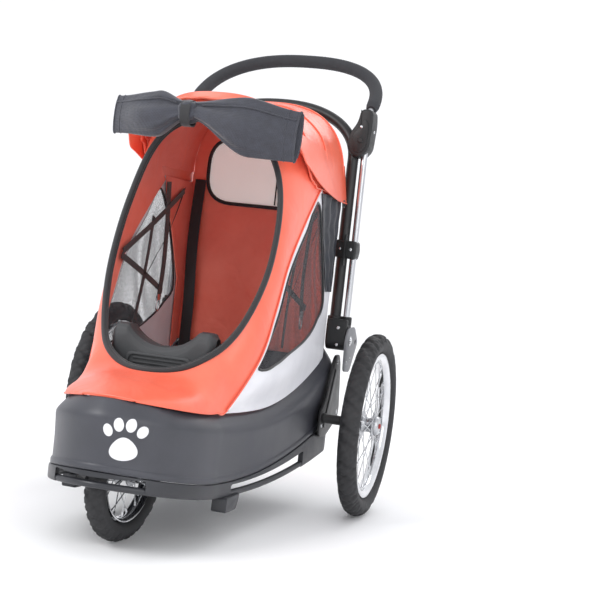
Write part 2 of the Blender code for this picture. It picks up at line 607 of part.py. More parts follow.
def set_up_joints(axis_y, centre):
    fold = empty("fold_axis", (0, PIVOT_Y, PIVOT_Z))
    frame = ["upright_arch", "handle_tube", "handle_grip"]
    frame += [stem + word for stem in ("housing_", "mid_clip_", "lower_bracket_") for word in ("left", "right")]
    swivel = empty("swivel_axis", (0, axis_y, FRONT_R))
    spin = empty("front_wheel_axis", centre, swivel)
    brake = empty("brake_axis", (0, 0.118, 0.205))
    groups = {fold: frame, swivel: ["front_fork"], spin: ["front_tyre", "front_rim", "front_hub"],
              brake: ["brake_pedal"]}
    for side, word in ((-1, "left"), (1, "right")):
        for stem in ("rear_tyre_", "rear_rim_", "rear_hub_", "release_button_"):
            recentre(stem + word, (side * REAR_X, 0, REAR_R))
    for parent, names in groups.items():
        for name in names:
            adopt(parent, bpy.data.objects[name])


def main():
    global PARTS, CUTTERS
    clear()
    PARTS, CUTTERS = collection("pet_stroller"), collection("cutters")
    build_tub()
    build_bumper()
    build_inside()
    build_cabin()
    build_soft_trim()
    build_frame()
    build_brake()
    for side, word in ((-1, "left"), (1, "right")):
        build_rear_wheel(side, word)
    axis_y, centre = build_front_wheel()
    set_up_joints(axis_y, centre)
    for obj in list(CUTTERS.objects):
        obj.hide_viewport = True
    for obj in PARTS.objects:
        if obj.parent is None:
            obj.location.y += SHIFT_Y
    bpy.context.view_layer.update()


main()
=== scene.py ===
"""Pet stroller: a moulded tub on three spoked wheels with a folding handle frame and a sewn cabin."""
import math
import bmesh
import bpy
from bpy.props import FloatProperty, FloatVectorProperty, IntProperty, PointerProperty
from mathutils import Matrix, Vector
from mathutils.bvhtree import BVHTree


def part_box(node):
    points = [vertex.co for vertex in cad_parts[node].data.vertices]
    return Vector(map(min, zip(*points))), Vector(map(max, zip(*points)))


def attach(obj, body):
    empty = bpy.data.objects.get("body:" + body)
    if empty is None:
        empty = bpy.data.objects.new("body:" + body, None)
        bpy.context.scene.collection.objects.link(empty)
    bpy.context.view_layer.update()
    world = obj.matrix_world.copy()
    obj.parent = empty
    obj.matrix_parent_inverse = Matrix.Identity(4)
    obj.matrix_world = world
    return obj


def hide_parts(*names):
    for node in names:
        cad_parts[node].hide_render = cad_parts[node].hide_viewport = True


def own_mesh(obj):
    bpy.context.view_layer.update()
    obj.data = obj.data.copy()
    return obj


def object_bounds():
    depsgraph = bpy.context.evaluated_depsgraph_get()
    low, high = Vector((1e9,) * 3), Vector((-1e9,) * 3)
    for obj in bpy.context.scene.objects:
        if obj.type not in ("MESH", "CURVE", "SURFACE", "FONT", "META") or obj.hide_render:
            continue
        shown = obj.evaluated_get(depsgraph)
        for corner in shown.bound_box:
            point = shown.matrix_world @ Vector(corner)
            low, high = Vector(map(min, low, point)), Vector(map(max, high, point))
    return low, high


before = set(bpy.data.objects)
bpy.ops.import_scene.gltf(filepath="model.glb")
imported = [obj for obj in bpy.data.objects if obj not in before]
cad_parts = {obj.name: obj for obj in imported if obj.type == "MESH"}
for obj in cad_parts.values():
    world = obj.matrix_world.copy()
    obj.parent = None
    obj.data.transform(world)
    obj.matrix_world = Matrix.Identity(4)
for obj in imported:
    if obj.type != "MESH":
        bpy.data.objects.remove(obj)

bl_info = {
    "name": "Pet Stroller",
    "version": (1, 0, 0),
    "blender": (4, 5, 0),
    "location": "3D View > Sidebar > Stroller",
    "description": "Builds the detailed pieces of a three-wheeled pet stroller",
    "category": "Add Mesh",
}

CAD_BOX = [list(corner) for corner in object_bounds()]
tyre_low, tyre_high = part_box("rear_tyre_right")
AXLE_Y = (tyre_low[1] + tyre_high[1]) / 2     # lengths below are measured from the rear axle
FINISH = {}
SIDES = ((-1, "left"), (1, "right"))

# sizes that several pieces share, metres
NOSE_BASE_Y, NOSE_LENGTH, NOSE_HALF = -0.519, 0.216, 0.154
TUB_BACK_Y, TUB_CORNER = 0.10, 0.04
TUB_FLOOR_Z = 0.2056
CABIN_BACK_Y, CABIN_HALF, CANOPY_BASE_Z, WALL_TOP_Z = 0.043, 0.178, 0.684, 0.692
OPENING_Z, OPENING_POWER = 0.556, 2.5
SWIVEL_Y, FRONT_AXLE_Z = -0.568, 0.12
AXLE_Z, REAR_TRACK_HALF = 0.2, 0.308
PIVOT_Y, PIVOT_Z = 0.072, 0.372
HANDLE_LEAN = 0.94                            # radians that the handle's loop leans back from upright


# ---- shapes of the tub and the cabin, from the rear axle, front towards -Y ----
def tub_half(y):
    """Half width of the tub: an ellipse-like nose, then slowly widening sides."""
    if y < NOSE_BASE_Y:
        t = (NOSE_BASE_Y - y) / NOSE_LENGTH
        return NOSE_HALF * max(1 - t * t, 0) ** 0.55
    return NOSE_HALF + 0.076 * (y - NOSE_BASE_Y)


def rim_z(y):
    """Height of the tub's rolled rim, lowest a little ahead of the middle."""
    return 0.236 + (0.22 if y < -0.33 else 0.66) * (y + 0.33) ** 2


def seam_z(y):
    """Height of the seam between the tub and the bumper."""
    return 0.116 + 0.318 * (y + 0.413) ** 2


def bumper_z(y):
    """Height of the bumper's lower edge."""
    return 0.084 + 0.22 * (y + 0.33) ** 2


def spread(low, high, count):
    return [low + (high - low) * i / (count - 1) for i in range(count)]


def mix(a, b, t):
    return a + (b - a) * t


def ease(t):
    t = min(max(t, 0), 1)
    return t * t * (3 - 2 * t)


def power_curve(angle, power):
    """Cosine and sine bent towards a rounded rectangle."""
    c, s = math.cos(angle), math.sin(angle)
    return (math.copysign(abs(c) ** (2 / power), c), math.copysign(abs(s) ** (2 / power), s))


def bend(a, b, c, d, f):
    """Point at share f of the smooth span from b to c, with a before it and d after it."""
    return 0.5 * (2 * b + (c - a) * f + (2 * a - 5 * b + 4 * c - d) * f * f + (3 * b - a - 3 * c + d) * f ** 3)


def smooth_path(points, count, closed=False):
    """Evenly numbered points on a smooth curve through the given ones."""
    pts = [Vector(p) for p in points]
    n = len(pts)
    spans = n if closed else n - 1
    result = []
    for i in range(count):
        t = i * spans / (count if closed else count - 1)
        k = min(int(t), spans - 1)
        near = [pts[(k + j) % n if closed else min(max(k + j, 0), n - 1)] for j in (-1, 0, 1, 2)]
        result.append(bend(*near, t - k))
    return result


def tub_plan(count):
    """Points and outward directions round the tub, evenly spaced from the nose."""
    half = [(tub_half(y), y) for y in [-0.735 + NOSE_LENGTH * (1 - math.cos(a)) for a in spread(0, math.pi / 2, 60)]]
    half += [(tub_half(y), y) for y in spread(-0.51, 0.06, 60)]
    corner = tub_half(0.06)
    half += [(corner - TUB_CORNER * (1 - math.cos(a)), 0.06 + TUB_CORNER * math.sin(a))
             for a in spread(0.08, math.pi / 2, 14)]
    half += [(x, TUB_BACK_Y) for x in spread(corner - 0.045, 0, 24)]
    loop = half + [(-x, y) for x, y in reversed(half[1:-1])]
    lengths = [0.0]
    for (ax, ay), (bx, by) in zip(loop, loop[1:] + loop[:1]):
        lengths.append(lengths[-1] + math.hypot(bx - ax, by - ay))
    spots, k = [], 0
    for i in range(count):
        want = lengths[-1] * i / count
        while lengths[k + 1] < want:
            k += 1
        t = (want - lengths[k]) / max(lengths[k + 1] - lengths[k], 1e-9)
        (ax, ay), (bx, by) = loop[k], loop[(k + 1) % len(loop)]
        spots.append(Vector((mix(ax, bx, t), mix(ay, by, t))))
    plan = []
    for i in range(count):
        along = (spots[(i + 1) % count] - spots[i - 1]).normalized()
        plan.append((spots[i], Vector((along.y, -along.x))))
    return plan


# ---- mesh tools ----
def bm_of(mesh):
    bm = bmesh.new()
    bm.from_mesh(mesh)
    bpy.data.meshes.remove(mesh)
    return bm


def mesh_of(bm, name="draft"):
    mesh = bpy.data.meshes.new(name)
    bm.to_mesh(mesh)
    bm.free()
    return mesh


def close_shell(bm, merge=2e-6):
    bmesh.ops.remove_doubles(bm, verts=bm.verts, dist=merge)
    bmesh.ops.recalc_face_normals(bm, faces=bm.faces)
    return bm


def thicken(bm, wall):
    """Gives an open sheet its thickness with the Solidify modifier."""
    close_shell(bm)
    obj = bpy.data.objects.new("sheet", mesh_of(bm))
    bpy.context.scene.collection.objects.link(obj)
    mod = obj.modifiers.new("wall", "SOLIDIFY")
    mod.thickness, mod.offset = wall, -1.0
    mesh = bpy.data.meshes.new_from_object(obj.evaluated_get(bpy.context.evaluated_depsgraph_get()))
    old = obj.data
    bpy.data.objects.remove(obj)
    bpy.data.meshes.remove(old)
    return bm_of(mesh)


def finish_piece(bm, name, finish, body="tub", stands_for=(), slot=None, wall=0.0, crease=38):
    """Turns a bmesh into the finished object on its body."""
    close_shell(bm)
    if wall:
        bm = thicken(bm, wall)
    bmesh.ops.translate(bm, verts=bm.verts, vec=(0, AXLE_Y, 0))
    mesh = mesh_of(bm, name)
    mesh.shade_smooth()
    mesh.set_sharp_from_angle(angle=math.radians(crease))
    obj = bpy.data.objects.new(name, mesh)
    bpy.context.scene.collection.objects.link(obj)
    mesh.materials.append(FINISH[finish])
    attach(obj, body)
    if stands_for:
        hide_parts(*stands_for)
    return obj


def surface(place, across, along, size=None):
    """A grid whose points go where place(u, v) says, with its UV map in metres."""
    bm = bmesh.new()
    layer = bm.loops.layers.uv.new("UVMap")
    bmesh.ops.create_grid(bm, x_segments=across, y_segments=along, size=0.5, calc_uvs=True)
    if size:
        for face in bm.faces:
            for loop in face.loops:
                loop[layer].uv = (loop[layer].uv[0] * size[0], loop[layer].uv[1] * size[1])
    for vert in bm.verts:
        vert.co = place(vert.co.x + 0.5, vert.co.y + 0.5)
    return bm


def tube(points, radius, closed=False, sides=4):
    """A round bar along the points."""
    curve = bpy.data.curves.new("bar", "CURVE")
    curve.dimensions = "3D"
    curve.bevel_depth = radius
    curve.bevel_resolution = sides
    curve.use_fill_caps = not closed
    spline = curve.splines.new("POLY")
    spline.points.add(len(points) - 1)
    for point, co in zip(spline.points, points):
        point.co = (*co, 1)
    spline.use_cyclic_u = closed
    obj = bpy.data.objects.new("bar", curve)
    mesh = bpy.data.meshes.new_from_object(obj)
    bpy.data.objects.remove(obj)
    bpy.data.curves.remove(curve)
    return close_shell(bm_of(mesh))


def turned(profile, centre, axis, steps=48, loop=False):
    """A profile of (radius, distance along the axis) spun round the axis through the centre."""
    bm = bmesh.new()
    axis, centre = Vector(axis).normalized(), Vector(centre)
    out = axis.orthogonal().normalized()
    verts = [bm.verts.new(centre + out * r + axis * h) for r, h in profile]
    edges = [bm.edges.new(pair) for pair in zip(verts, verts[1:])]
    if loop:
        edges.append(bm.edges.new((verts[-1], verts[0])))
    bmesh.ops.spin(bm, geom=verts + edges, cent=centre, axis=axis, dvec=(0, 0, 0),
                   angle=2 * math.pi, steps=steps, use_merge=True, use_duplicate=False)
    return close_shell(bm, 1e-6)


def both_ways(half, *end):
    """A profile that repeats its first half, except the middle point, on the other side."""
    return half + [(r, -h) for r, h in reversed(half[:-1])] + list(end)


def slab(outline, axis, low, high, edge=0.0, segments=2):
    """A flat plate with the outline square to the axis and softened edges."""
    low, high = sorted((low, high))
    bm = bmesh.new()
    where = {"X": lambda a, b: (low, a, b), "Y": lambda a, b: (a, low, b), "Z": lambda a, b: (a, b, low)}[axis]
    face = bm.faces.new([bm.verts.new(where(a, b)) for a, b in outline])
    top = bmesh.ops.extrude_face_region(bm, geom=[face])
    raised = [v for v in top["geom"] if isinstance(v, bmesh.types.BMVert)]
    step = [0, 0, 0]
    step["XYZ".index(axis)] = high - low
    bmesh.ops.translate(bm, verts=raised, vec=step)
    bmesh.ops.recalc_face_normals(bm, faces=bm.faces)
    if edge:
        bmesh.ops.bevel(bm, geom=bm.edges[:], offset=edge, affect="EDGES", segments=segments, profile=0.5,
                        material=-1)
    return bm


def rounded(outline, radius, steps=5):
    """The outline with its corners cut to arcs."""
    result, n = [], len(outline)
    for i, corner in enumerate(outline):
        here, before, after = Vector(corner), Vector(outline[i - 1]), Vector(outline[(i + 1) % n])
        reach = min(radius, (before - here).length * 0.45, (after - here).length * 0.45)
        a, b = here + (before - here).normalized() * reach, here + (after - here).normalized() * reach
        result += [tuple(a * (1 - t) ** 2 + here * 2 * t * (1 - t) + b * t * t) for t in spread(0, 1, steps)]
    return result


def ring_outline(x, y, rx, ry, power=2, count=40):
    """An ellipse as an outline; a higher power squares it."""
    return [(x + rx * c, y + ry * s) for c, s in (power_curve(2 * math.pi * i / count, power) for i in range(count))]


def joined(*parts):
    """Several separate shells in one bmesh."""
    bm = bmesh.new()
    for part in parts:
        mesh = mesh_of(part)
        bm.from_mesh(mesh)
        bpy.data.meshes.remove(mesh)
    return bm


def carve(bm, cutters, how="DIFFERENCE"):
    """Boolean of closed shells."""
    base = bpy.data.objects.new("carved", mesh_of(bm))
    bpy.context.scene.collection.objects.link(base)
    made = []
    for cutter in cutters:
        close_shell(cutter)
        tool = bpy.data.objects.new("cutter", mesh_of(cutter))
        bpy.context.scene.collection.objects.link(tool)
        mod = base.modifiers.new("cut", "BOOLEAN")
        mod.object, mod.operation, mod.solver = tool, how, "EXACT"
        made.append(tool)
    depsgraph = bpy.context.evaluated_depsgraph_get()
    mesh = bpy.data.meshes.new_from_object(base.evaluated_get(depsgraph))
    for obj in made + [base]:
        old = obj.data
        bpy.data.objects.remove(obj)
        bpy.data.meshes.remove(old)
    return bm_of(mesh)


def screw(spot, axis, radius=0.0045):
    """A domed screw head with a cross recess."""
    r = radius
    head = turned([(0, -0.002), (r, -0.002), (r, 0.0002), (r * 0.9, 0.0009), (r * 0.6, 0.0015), (0, 0.0018)], spot,
                  axis, 20)
    axis = Vector(axis).normalized()
    turn = Vector((0, 0, 1)).rotation_difference(axis).to_matrix().to_4x4()
    turn.translation = Vector(spot) + axis * 0.0018
    bars = []
    for sx, sy in ((1.1, 0.26), (0.26, 1.1)):
        bar = bmesh.new()
        bmesh.ops.create_cube(bar, size=1)
        bmesh.ops.scale(bar, vec=(r * sx, r * sy, 0.0022), verts=bar.verts)
        bmesh.ops.transform(bar, matrix=turn, verts=bar.verts)
        bars.append(bar)
    return carve(head, bars)


def screws(name, body, *heads):
    """Several screw heads as one piece; each is its place, its axis and its radius."""
    finish_piece(joined(*[screw(*head) for head in heads]), name, "stainless steel", body)


def cloth_sheet(obj, size):
    """Works out a sewn panel's area from its cut size, though nothing uses it, and gives the object its own copy of
    its mesh.
    """
    area = sum(p.area for p in obj.data.polygons) / 2
    area = min(max(area, 0.301 * size[0] * size[1]), size[0] * size[1])
    crumple(obj)


def crumple(obj):
    """Gives a soft piece its own copy of its mesh."""
    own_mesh(obj)


def soft_piece(*piece, **options):
    """A finished piece that gets its own copy of its mesh."""
    crumple(finish_piece(*piece, **options))


# ---- finishes ----
def linear(code):
    """An sRGB hex colour as linear RGBA; a colour property is linear already."""
    if not isinstance(code, str):
        return (*code, 1)
    parts = [int(code[i:i + 2], 16) / 255 for i in (1, 3, 5)]
    return (*[c / 12.92 if c <= 0.04045 else ((c + 0.055) / 1.055) ** 2.4 for c in parts], 1)


def add(mat, kind, links=None, **settings):
    """Adds a node; settings are attributes or input values, links are input names to (node, output)."""
    node = mat.node_tree.nodes.new("ShaderNode" + kind)
    for key, value in settings.items():
        if hasattr(node, key):
            setattr(node, key, value)
        else:
            node.inputs[key.replace("_", " ")].default_value = value
    for key, (source, output) in (links or {}).items():
        mat.node_tree.links.new(source.outputs[output], node.inputs[key])
    return node


def base_finish(name, pale, dark, patch_mm, rough, grain_mm=0, depth=0.0, metallic=0.0, coat=0.0,
                stretch=(1, 1, 1), **shader_values):
    """A surface with mottled colour, uneven gloss and fine grain; returns the pieces a weave can be added to."""
    mat = bpy.data.materials.new(name)
    mat.use_nodes = True
    shader = mat.node_tree.nodes["Principled BSDF"]
    shader.inputs["Metallic"].default_value = metallic
    shader.inputs["Coat Weight"].default_value = coat
    for key, value in shader_values.items():
        shader.inputs[key.replace("_", " ")].default_value = value
    coords = add(mat, "TexCoord")
    mapping = add(mat, "Mapping", {"Vector": (coords, "Object")})
    mapping.inputs["Scale"].default_value = stretch
    patches = add(mat, "TexNoise", {"Vector": (mapping, "Vector")}, Scale=1000 / patch_mm, Detail=4.0, Roughness=0.6)
    ramp = add(mat, "ValToRGB", {"Fac": (patches, "Fac")})
    ramp.color_ramp.elements[0].position, ramp.color_ramp.elements[1].position = 0.25, 0.75
    ramp.color_ramp.elements[0].color = linear(dark)
    ramp.color_ramp.elements[1].color = linear(pale)
    mat.node_tree.links.new(ramp.outputs["Color"], shader.inputs["Base Color"])
    gloss = add(mat, "MapRange", {"Value": (patches, "Fac")}, From_Min=0.3, From_Max=0.7,
                To_Min=rough[0], To_Max=rough[1])
    mat.node_tree.links.new(gloss.outputs["Result"], shader.inputs["Roughness"])
    bump = None
    if grain_mm:
        grain = add(mat, "TexNoise", {"Vector": (mapping, "Vector")}, Scale=1000 / grain_mm, Detail=3.0)
        bump = add(mat, "Bump", {"Height": (grain, "Fac")}, Strength=0.6, Distance=depth)
        mat.node_tree.links.new(bump.outputs["Normal"], shader.inputs["Normal"])
    FINISH[name] = mat
    return mat, shader, mapping, ramp, bump


def add_weave(parts, pitch_mm, depth, shade=0.0, creases=0.0, crease_mm=60):
    """Warp and weft threads over a finish, drawn coarse enough to show, and soft creases."""
    mat, shader, mapping, ramp, bump = parts
    warp = add(mat, "TexWave", {"Vector": (mapping, "Vector")}, bands_direction="DIAGONAL", Scale=314 / pitch_mm,
               Distortion=0.6)
    weft = add(mat, "TexWave", {"Vector": (mapping, "Vector")}, bands_direction="Z", Scale=314 / pitch_mm,
               Distortion=0.6)
    both = add(mat, "Math", {0: (warp, "Fac"), 1: (weft, "Fac")}, operation="MULTIPLY")
    links = {"Height": (both, "Value")}
    if bump:
        links["Normal"] = (bump, "Normal")
    woven = add(mat, "Bump", links, Strength=0.5, Distance=depth)
    if creases:
        folds = add(mat, "TexNoise", {"Vector": (mapping, "Vector")}, Scale=1000 / crease_mm, Detail=2.0,
                    Distortion=1.2)
        woven = add(mat, "Bump", {"Height": (folds, "Fac"), "Normal": (woven, "Normal")}, Strength=0.7,
                    Distance=creases)
    mat.node_tree.links.new(woven.outputs["Normal"], shader.inputs["Normal"])
    if shade:
        darker = add(mat, "Mix", {"Factor": (both, "Value"), 6: (ramp, "Color")}, data_type="RGBA",
                     blend_type="MULTIPLY")
        darker.inputs[7].default_value = (1 - shade, 1 - shade, 1 - shade, 1)
        mat.node_tree.links.new(darker.outputs[2], shader.inputs["Base Color"])


def add_holes(parts, pitch_mm, cover):
    """Open knit: cover is the share of the surface that is thread."""
    mat, shader, mapping = parts[:3]
    cells = add(mat, "TexVoronoi", {"Vector": (mapping, "Vector")}, Scale=1000 / pitch_mm, Randomness=0.25)
    thread = add(mat, "MapRange", {"Value": (cells, "Distance")}, From_Min=0.25, From_Max=0.45, To_Min=cover - 0.3,
                 To_Max=min(cover + 0.35, 1))
    mat.node_tree.links.new(thread.outputs["Result"], shader.inputs["Alpha"])


def make_finishes(look):
    # satin moulded ABS: soft broad highlights with a faint spark-eroded grain
    base_finish("moulded ABS", look.tub_colour, "#38393F", 90, (0.34, 0.46), 1.6, 0.00012, Specular_IOR_Level=0.5)
    # moulded polypropylene: flatter and darker than the tub
    base_finish("moulded polypropylene", "#34353A", "#27282C", 60, (0.30, 0.46), 1.4, 0.00018)
    # polyurethane coated polyester: saturated, glossy skin over a plain weave with slack creases
    coral = base_finish("coated polyester", look.fabric_colour, "#F0644B", 130, (0.30, 0.42), 2.2, 0.0001, coat=0.25,
                        Coat_Roughness=0.25)
    add_weave(coral, 2.0, 0.00015, 0.05, 0.0035, 85)
    # polyester taffeta lining: deep red cloth, thin and a little shiny; its colours are painted much lighter than
    # that red, as painted light for the shaded inside of the cabin
    lining = base_finish("taffeta lining", "#FF8672", "#EF6650", 120, (0.42, 0.6), 2.0, 0.0001, Sheen_Weight=0.15)
    add_weave(lining, 2.0, 0.0001, 0.08, 0.004, 70)
    # fine insect mesh: drawn coarse enough to show, and so open that what is behind reads as a grey veil
    veil = base_finish("insect mesh", "#3A3A40", "#25252A", 40, (0.7, 0.85), Sheen_Weight=0.1)
    add_holes(veil, 2.6, 0.16)
    # bunched mesh: several layers lie over each other, so it is nearly solid with a coarse woven look
    bunch = base_finish("bunched knit mesh", "#41434D", "#2A2B34", 14, (0.62, 0.8), 1.5, 0.0003, Sheen_Weight=0.35)
    add_weave(bunch, 3.2, 0.0008, 0.35, 0.002, 30)
    # white coated polyester: smooth, slightly warm in the folds
    white = base_finish("white coated polyester", "#EDEDF1", "#DADAE0", 110, (0.38, 0.5), 2.0, 0.0001)
    add_weave(white, 2.0, 0.00012, 0.04, 0.003, 75)
    # pale window film: smooth vinyl with a faint emboss; a painted glow (emission) stands in for the light that comes
    # through it
    base_finish("pale window film", "#F4F2EF", "#E6E3DF", 70, (0.25, 0.4), 2.4, 0.00008,
                Emission_Color=linear("#D9D6D2"), Emission_Strength=0.35)
    # navy ripstop for the pleated gusset: thin and dull
    navy = base_finish("navy ripstop", "#232733", "#14161E", 30, (0.5, 0.7), 1.6, 0.0002, Sheen_Weight=0.2)
    add_weave(navy, 2.2, 0.0003, 0.2, 0.002, 25)
    # nylon webbing and grosgrain tape: cross ribs every couple of millimetres
    tape = base_finish("nylon webbing", "#232327", "#141416", 20, (0.55, 0.7), 1.0, 0.0002, Sheen_Weight=0.25)
    add_weave(tape, 2.4, 0.0004, 0.25)
    # plush floor pad: short pile that scatters light at grazing angles
    base_finish("plush pile", "#3A3A3E", "#222225", 9, (0.9, 1.0), 1.8, 0.0012, Sheen_Weight=0.6)
    # textured ABS of the chin rest
    base_finish("textured ABS", "#404143", "#313234", 50, (0.5, 0.62), 1.2, 0.0003)
    # powder coated steel: black with a fine orange-peel skin
    base_finish("black powder coat", "#1C1C1E", "#111112", 40, (0.36, 0.5), 2.2, 0.0001)
    # satin anodised aluminium tube: drawn lines along its length
    base_finish("anodised aluminium", "#D5D6D9", "#B9BBBF", 12, (0.24, 0.36), 1.5, 0.00005, metallic=1.0,
                stretch=(1, 1, 0.08))
    # grey hammered paint on the folding plates
    base_finish("grey paint", "#8A8B8F", "#737478", 15, (0.38, 0.5), 2.0, 0.0002, metallic=0.4)
    # glass filled nylon: dull black with a slight sparkle of fibre
    base_finish("glass filled nylon", "#1C1D1F", "#101112", 12, (0.42, 0.6), 1.0, 0.0002)
    # closed cell foam of the grip
    base_finish("EVA foam", "#3A3B3F", "#2C2D30", 10, (0.8, 0.95), 1.6, 0.0006)
    # tyre rubber: dull, dusted in the grooves
    base_finish("tyre rubber", "#303032", "#212123", 16, (0.6, 0.8), 1.2, 0.0003)
    # polished rim: bright with faint turning marks
    base_finish("polished aluminium", "#E4E5E7", "#CFD0D3", 30, (0.10, 0.2), 2.0, 0.00003, metallic=1.0)
    # cast and turned hub
    base_finish("turned aluminium", "#C3C4C7", "#9FA1A5", 14, (0.2, 0.34), 1.2, 0.00008, metallic=1.0)
    # stainless wire and screws
    base_finish("stainless steel", "#D8D9DB", "#BDBFC2", 20, (0.18, 0.3), 1.0, 0.00003, metallic=1.0)
    # red acetal release button
    base_finish("red acetal", "#A5241C", "#8C1A14", 8, (0.3, 0.42), 1.0, 0.00008)
    # screen print on the tub: flat white ink
    base_finish("white ink", "#E9E9EB", "#DCDCDF", 20, (0.4, 0.5), 1.0, 0.00005)
    # matte white board of the studio floor
    base_finish("matte board", "#FDFDFD", "#FBFBFC", 900, (0.75, 0.85), 3.0, 0.00005)


# ---- the tub ----
def lofted(plan, section, count_v):
    """A band round the tub: section(point) gives its (inset, height) pairs at that place."""
    n = len(plan)
    rows = [section(point) for point, _ in plan]

    def place(u, v):
        i = round(u * n) % n
        inset, z = rows[i][round(v * (count_v - 1))]
        spot = plan[i][0] - plan[i][1] * inset
        return (spot.x, spot.y, z)
    return surface(place, n, count_v - 1)


def wheel_well(radius, half):
    """A drum round the front wheel's axle."""
    return turned([(0, -half), (radius - 0.006, -half), (radius, -half + 0.006), (radius, half - 0.006),
                   (radius - 0.006, half), (0, half)], (0, -0.578, FRONT_AXLE_Z), (1, 0, 0), 64)


def build_tub():
    plan = tub_plan(288)

    def section(point):
        low, top = seam_z(point.y), rim_z(point.y)
        return [(0.0075, low + 0.001), (0.001, low + 0.0006), (0.0, low + 0.003), (0.0, low + 0.009),
                (0.0012, low + 0.0115), (0.0026, low + 0.0128), (0.0030, low + 0.0150), (0.0030, low + 0.02),
                (0.003, mix(low, top, 0.4)), (0.0015, mix(low, top, 0.66)), (0.0008, top - 0.034),
                (0.0015, top - 0.0285), (0.0040, top - 0.0235), (0.0085, top - 0.0175), (0.0145, top - 0.0105),
                (0.0195, top - 0.005), (0.0225, top - 0.0015), (0.0250, top), (0.0275, top - 0.0012),
                (0.0285, top - 0.006), (0.0290, 0.216), (0.030, 0.210), (0.036, TUB_FLOOR_Z)]

    outer = close_shell(lofted(plan, section, 23))
    wall = BVHTree.FromBMesh(outer)
    loops = [e for e in outer.edges if e.is_boundary]
    inside = [e for e in loops if all(abs(v.co.z - TUB_FLOOR_Z) < 1e-5 for v in e.verts)]
    bmesh.ops.edgeloop_fill(outer, edges=inside)
    # the underside steps up from the seam to the floor
    low = [e for e in outer.edges if e.is_boundary]
    step = bmesh.ops.extrude_edge_only(outer, edges=low)
    lifted = [g for g in step["geom"] if isinstance(g, bmesh.types.BMVert)]
    for vert in lifted:
        vert.co.z = 0.2
    bmesh.ops.edgeloop_fill(outer, edges=[e for e in outer.edges if e.is_boundary])
    hump = carve(wheel_well(0.140, 0.0785), [slab(tub_outline_flat(0.006), "Z", 0.201, 0.4)], "INTERSECT")
    body = carve(close_shell(outer), [hump], "UNION")
    stem = turned([(0, -0.05), (0.0096, -0.05), (0.0096, 0.05), (0, 0.05)], (0, SWIVEL_Y, 0.25), (0, 0, 1), 32)
    hollow = carve(wheel_well(0.1365, 0.075), [slab(tub_outline_flat(0.0085), "Z", -0.1, 0.4)], "INTERSECT")
    body = carve(body, [hollow, stem])

    # a deck closes the tub behind the cabin
    def deck(u, v):
        y = mix(0.046, 0.074, v)
        x = (u - 0.5) * 2 * (tub_half(min(y, 0.06)) - 0.024)
        return (x, y, rim_z(y) - 0.0015 + 0.004 * (1 - (2 * u - 1) ** 2))
    finish_piece(body, "tub", "moulded ABS", stands_for=["tub_shell"], crease=32)
    finish_piece(surface(deck, 24, 4), "tub_rear_deck", "moulded ABS", wall=0.003)
    build_paw(wall)


def tub_outline_flat(inset):
    """The tub's plan, drawn in by the inset, as a flat outline."""
    return [(p.x - n.x * inset, p.y - n.y * inset) for p, n in tub_plan(120)]


def build_paw(tree):
    """A printed paw on the front of the tub: four toes and a pad laid on the wall."""
    grow, middle_x, middle_z = 2.1, 0.046, 0.199

    def on_wall(x, z):
        hit = tree.ray_cast(Vector((x, -1.2, z)), Vector((0, 1, 0)))[0]
        return hit - Vector((0, 0.0007, 0))

    blobs = [(0.0, -0.004, 0.0115, 0.0095, 0), (-0.0125, 0.0105, 0.0036, 0.0052, 0.35),
             (-0.0045, 0.0155, 0.0038, 0.0056, 0.1), (0.0045, 0.0155, 0.0038, 0.0056, -0.1),
             (0.0125, 0.0105, 0.0036, 0.0052, -0.35)]
    prints = []
    for cx, cz, rx, rz, turn in blobs:
        def blob(u, v):
            px, pz = math.cos(u * 2 * math.pi) * v * rx * grow, math.sin(u * 2 * math.pi) * v * rz * grow
            if rx > 0.01:
                # the pad is broad at its foot and narrows upwards
                px *= 0.86 - 0.24 * v * math.sin(u * 2 * math.pi)
            c, s = math.cos(turn), math.sin(turn)
            return on_wall(middle_x + cx * grow + px * c - pz * s, middle_z + cz * grow + px * s + pz * c)
        prints.append(surface(blob, 36, 12))
    finish_piece(joined(*prints), "paw_print", "white ink", wall=0.0008)


def build_bumper():
    plan = tub_plan(288)

    def section(point):
        low, top = bumper_z(point.y), seam_z(point.y) - 0.0006
        return [(0.009, low + 0.002), (0.006, low), (0.001, low), (-0.0012, low + 0.0012), (-0.002, low + 0.004),
                (-0.002, top - 0.003), (-0.0012, top - 0.0006), (0.001, top), (0.0065, top), (0.009, top - 0.001),
                (0.009, low + 0.002)]

    band = close_shell(lofted(plan, section, 11))
    bmesh.ops.dissolve_degenerate(band, dist=1e-7, edges=band.edges)
    slots = []
    for side in (-1, 1):
        ys = spread(-0.462, -0.075, 14)
        mid = [(y, (seam_z(y) + bumper_z(y)) / 2) for y in ys]
        shape = [(y, z - 0.05) for y, z in mid] + [(y, z + 0.0085) for y, z in reversed(mid)]
        slots.append(slab(rounded(shape, 0.008), "X", side * 0.10, side * 0.24))
    front = [(x, 0.1265 + s) for x, s in ((-0.085, -0.04), (0.085, -0.04), (0.085, 0.0125), (-0.085, 0.0125))]
    slots.append(slab(rounded(front, 0.005), "Y", -0.80, -0.60))
    band = carve(band, slots)
    finish_piece(band, "bumper", "moulded polypropylene", stands_for=["bumper_ring"], crease=32)
    # a round bar bridges the slots and dives into the solid band at their ends
    line = [(p - n * 0.0048) for p, n in tub_plan(200)]
    bar = tube([(p.x, p.y, bumper_z(p.y) + 0.0062) for p in line], 0.0062, closed=True, sides=4)
    finish_piece(bar, "bumper_bar", "moulded polypropylene")
    for side, name in SIDES:
        foot = slab(rounded([(-0.498, 0.0635), (-0.478, 0.0622), (-0.440, 0.0622), (-0.428, 0.078),
                             (-0.424, 0.0905), (-0.497, 0.0905)], 0.004), "X", side * 0.137, side * 0.167, 0.0022)
        finish_piece(foot, f"foot_pad_{name}", "moulded polypropylene", stands_for=[f"foot_{name}"])


